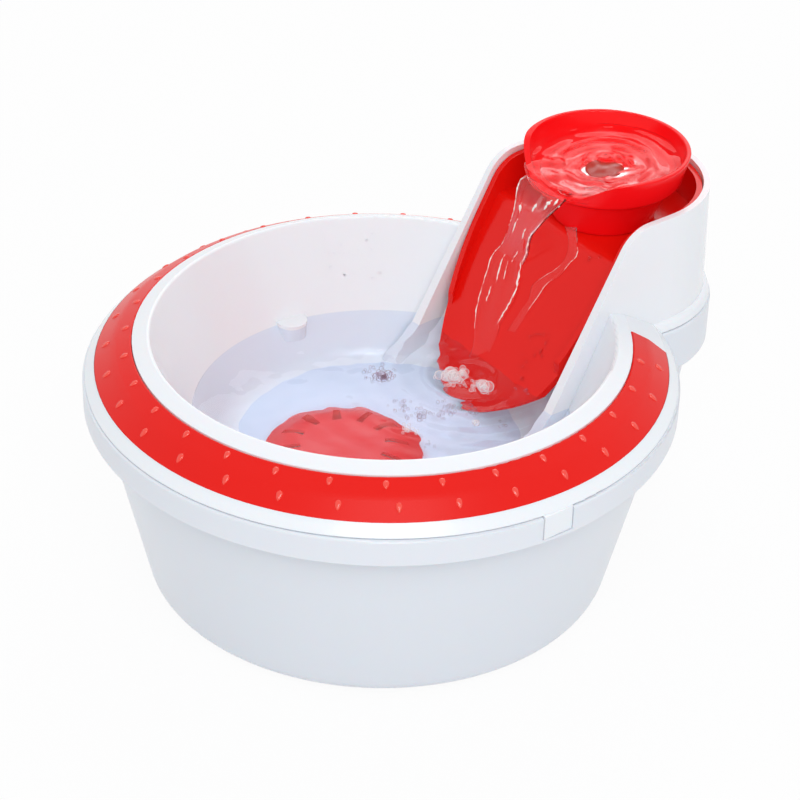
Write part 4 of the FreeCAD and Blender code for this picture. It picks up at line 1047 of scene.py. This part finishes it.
# %% Raised drops of the ring
DROP_STEP = 11.6
DROPS_REACH = 144.0
FRONT_ANGLE = -90
ABOVE_RING = 130
# Drops stand DROP_STEP degrees apart, up to DROPS_REACH degrees either side of the front.
# Each row: distance from the axis, shift along the ring in degrees, and half length in mm.
DROP_ROWS = ((107.6, 0.0, 1.9), (115.4, 2.5, 2.2))
DROP_WIDE = 1.25
DROP_RISE = 0.75
DROP_SINK = 0.08
DROP_TAPER = 0.35
DROP_CROWN = 0.8
DROP_LEVELS = 6
DROP_AROUND = 20
ring_surface = surface_of("rim_ring")


def raised_drop(reach, degrees, long):
    """A pointed dome on the ring, longer outward than across, or nothing off the ring."""
    angle = math.radians(degrees)
    away = Vector((math.cos(angle), math.sin(angle), 0))
    start = at(reach * away.x, reach * away.y, ABOVE_RING)
    hit, normal = ring_surface.ray_cast(start, DOWN)[:2]
    if hit is None:
        return [], []
    outward = (away - normal * away.dot(normal)).normalized()
    sideways = normal.cross(outward)

    def spot(tilt, turn):
        taper = 1 - DROP_TAPER * math.cos(turn)
        place = outward * math.cos(turn) * long * math.sin(tilt)
        place += sideways * math.sin(turn) * DROP_WIDE * taper * math.sin(tilt)
        place += normal * (DROP_RISE * math.cos(tilt) ** DROP_CROWN - DROP_SINK)
        return hit + place * MM

    points = dome(DROP_LEVELS, DROP_AROUND, spot)
    points.append(hit + normal * (DROP_RISE - DROP_SINK) * MM)
    return points, ring_faces(DROP_LEVELS, DROP_AROUND, poles=1)


drops = []
for reach, shift, long in DROP_ROWS:
    for number in range(int(2 * DROPS_REACH / DROP_STEP) + 1):
        degrees = FRONT_ANGLE - DROPS_REACH + shift + number * DROP_STEP
        drops.append(raised_drop(reach, degrees, long))
# The drops' lighter red is a painted highlight; their lower roughness is real gloss.
glossy_red_painted_highlight = rubber(
    "glossy_red_painted_highlight", (246, 66, 46), (238, 48, 32), (0.12, 0.2), sheen=0.0, shine=0.8
)
add_piece("ring_drops", gather(drops), glossy_red_painted_highlight, "bowl")
print("ring drops", len(drops))

# %% [markdown]
# The studio has a pale floor. To the camera, and in reflections and in water, it is almost
# white, as paper is under strong light. To the object it is plain matt paper that sends soft
# light back up and keeps the object's shadow.

# %% Floor
FLOOR_SIZE = 6.0
FLOOR_GLOW = 0.93
half = FLOOR_SIZE / 2
corners = [(-half, -half, 0), (half, -half, 0), (half, half, 0), (-half, half, 0)]
floor_mesh = bpy.data.meshes.new("floor")
floor_mesh.from_pydata(corners, [], [(0, 1, 2, 3)])
floor = bpy.data.objects.new("floor", floor_mesh)
bpy.context.scene.collection.objects.link(floor)
paper = Finish("paper")
paper.set(Base_Color=(0.85, 0.85, 0.86, 1), Roughness=0.9, Specular_IOR_Level=0.0)
glow = paper.node("ShaderNodeEmission")
glowing = paper.part_of(paper.ray_is(*SEEN), FLOOR_GLOW)
paper.show(glowing, paper.shader.outputs[0], glow.outputs[0], paper.surface)
floor_mesh.materials.append(paper.material)
print("floor", FLOOR_SIZE, "m")

# %% [markdown]
# The sky is an even white to the eye. As a light it is weaker, at about the level at which a
# colour renders as it is written once the lamps are added.

# %% Sky
SKY_LIGHT = 0.68
WHITE = (1, 1, 1, 1)
world = bpy.data.worlds.new("studio")
bpy.context.scene.world = world
world.use_nodes = True
world.node_tree.nodes.clear()
sky = Graph(world.node_tree)
white = sky.node("ShaderNodeBackground")
soft = sky.node("ShaderNodeBackground")
white.inputs["Color"].default_value = WHITE
soft.inputs["Color"].default_value = WHITE
soft.inputs["Strength"].default_value = SKY_LIGHT
sky_output = sky.node("ShaderNodeOutputWorld")
sky.show(sky.ray_is(*SEEN), soft.outputs[0], white.outputs[0], sky_output.inputs["Surface"])
print("sky light", SKY_LIGHT)

# %% [markdown]
# Two broad lamps give the light a direction. The key stands at the front right, high up, and
# brightens the ring and the tank's right side. A weaker one behind on the left lights the far rim
# and the back. Both are large, so their shadows are soft.


# %% Lamps
def soft_lamp(name, place, aim, size, watts):
    """A square area lamp that looks at a point."""
    data = bpy.data.lights.new(name, "AREA")
    data.shape = "SQUARE"
    data.size = size
    data.energy = watts
    lamp = bpy.data.objects.new(name, data)
    bpy.context.scene.collection.objects.link(lamp)
    lamp.location = place
    lamp.rotation_euler = (Vector(aim) - Vector(place)).to_track_quat("-Z", "Y").to_euler()


OBJECT_MIDDLE = (0.0, 0.0, 0.08)
soft_lamp("key", (1.1, -0.7, 1.4), OBJECT_MIDDLE, 1.0, 12)
soft_lamp("back", (-0.9, 0.9, 1.3), OBJECT_MIDDLE, 1.2, 6)
bpy.context.scene.view_settings.view_transform = "Standard"
print("lamps", len(bpy.data.lights))
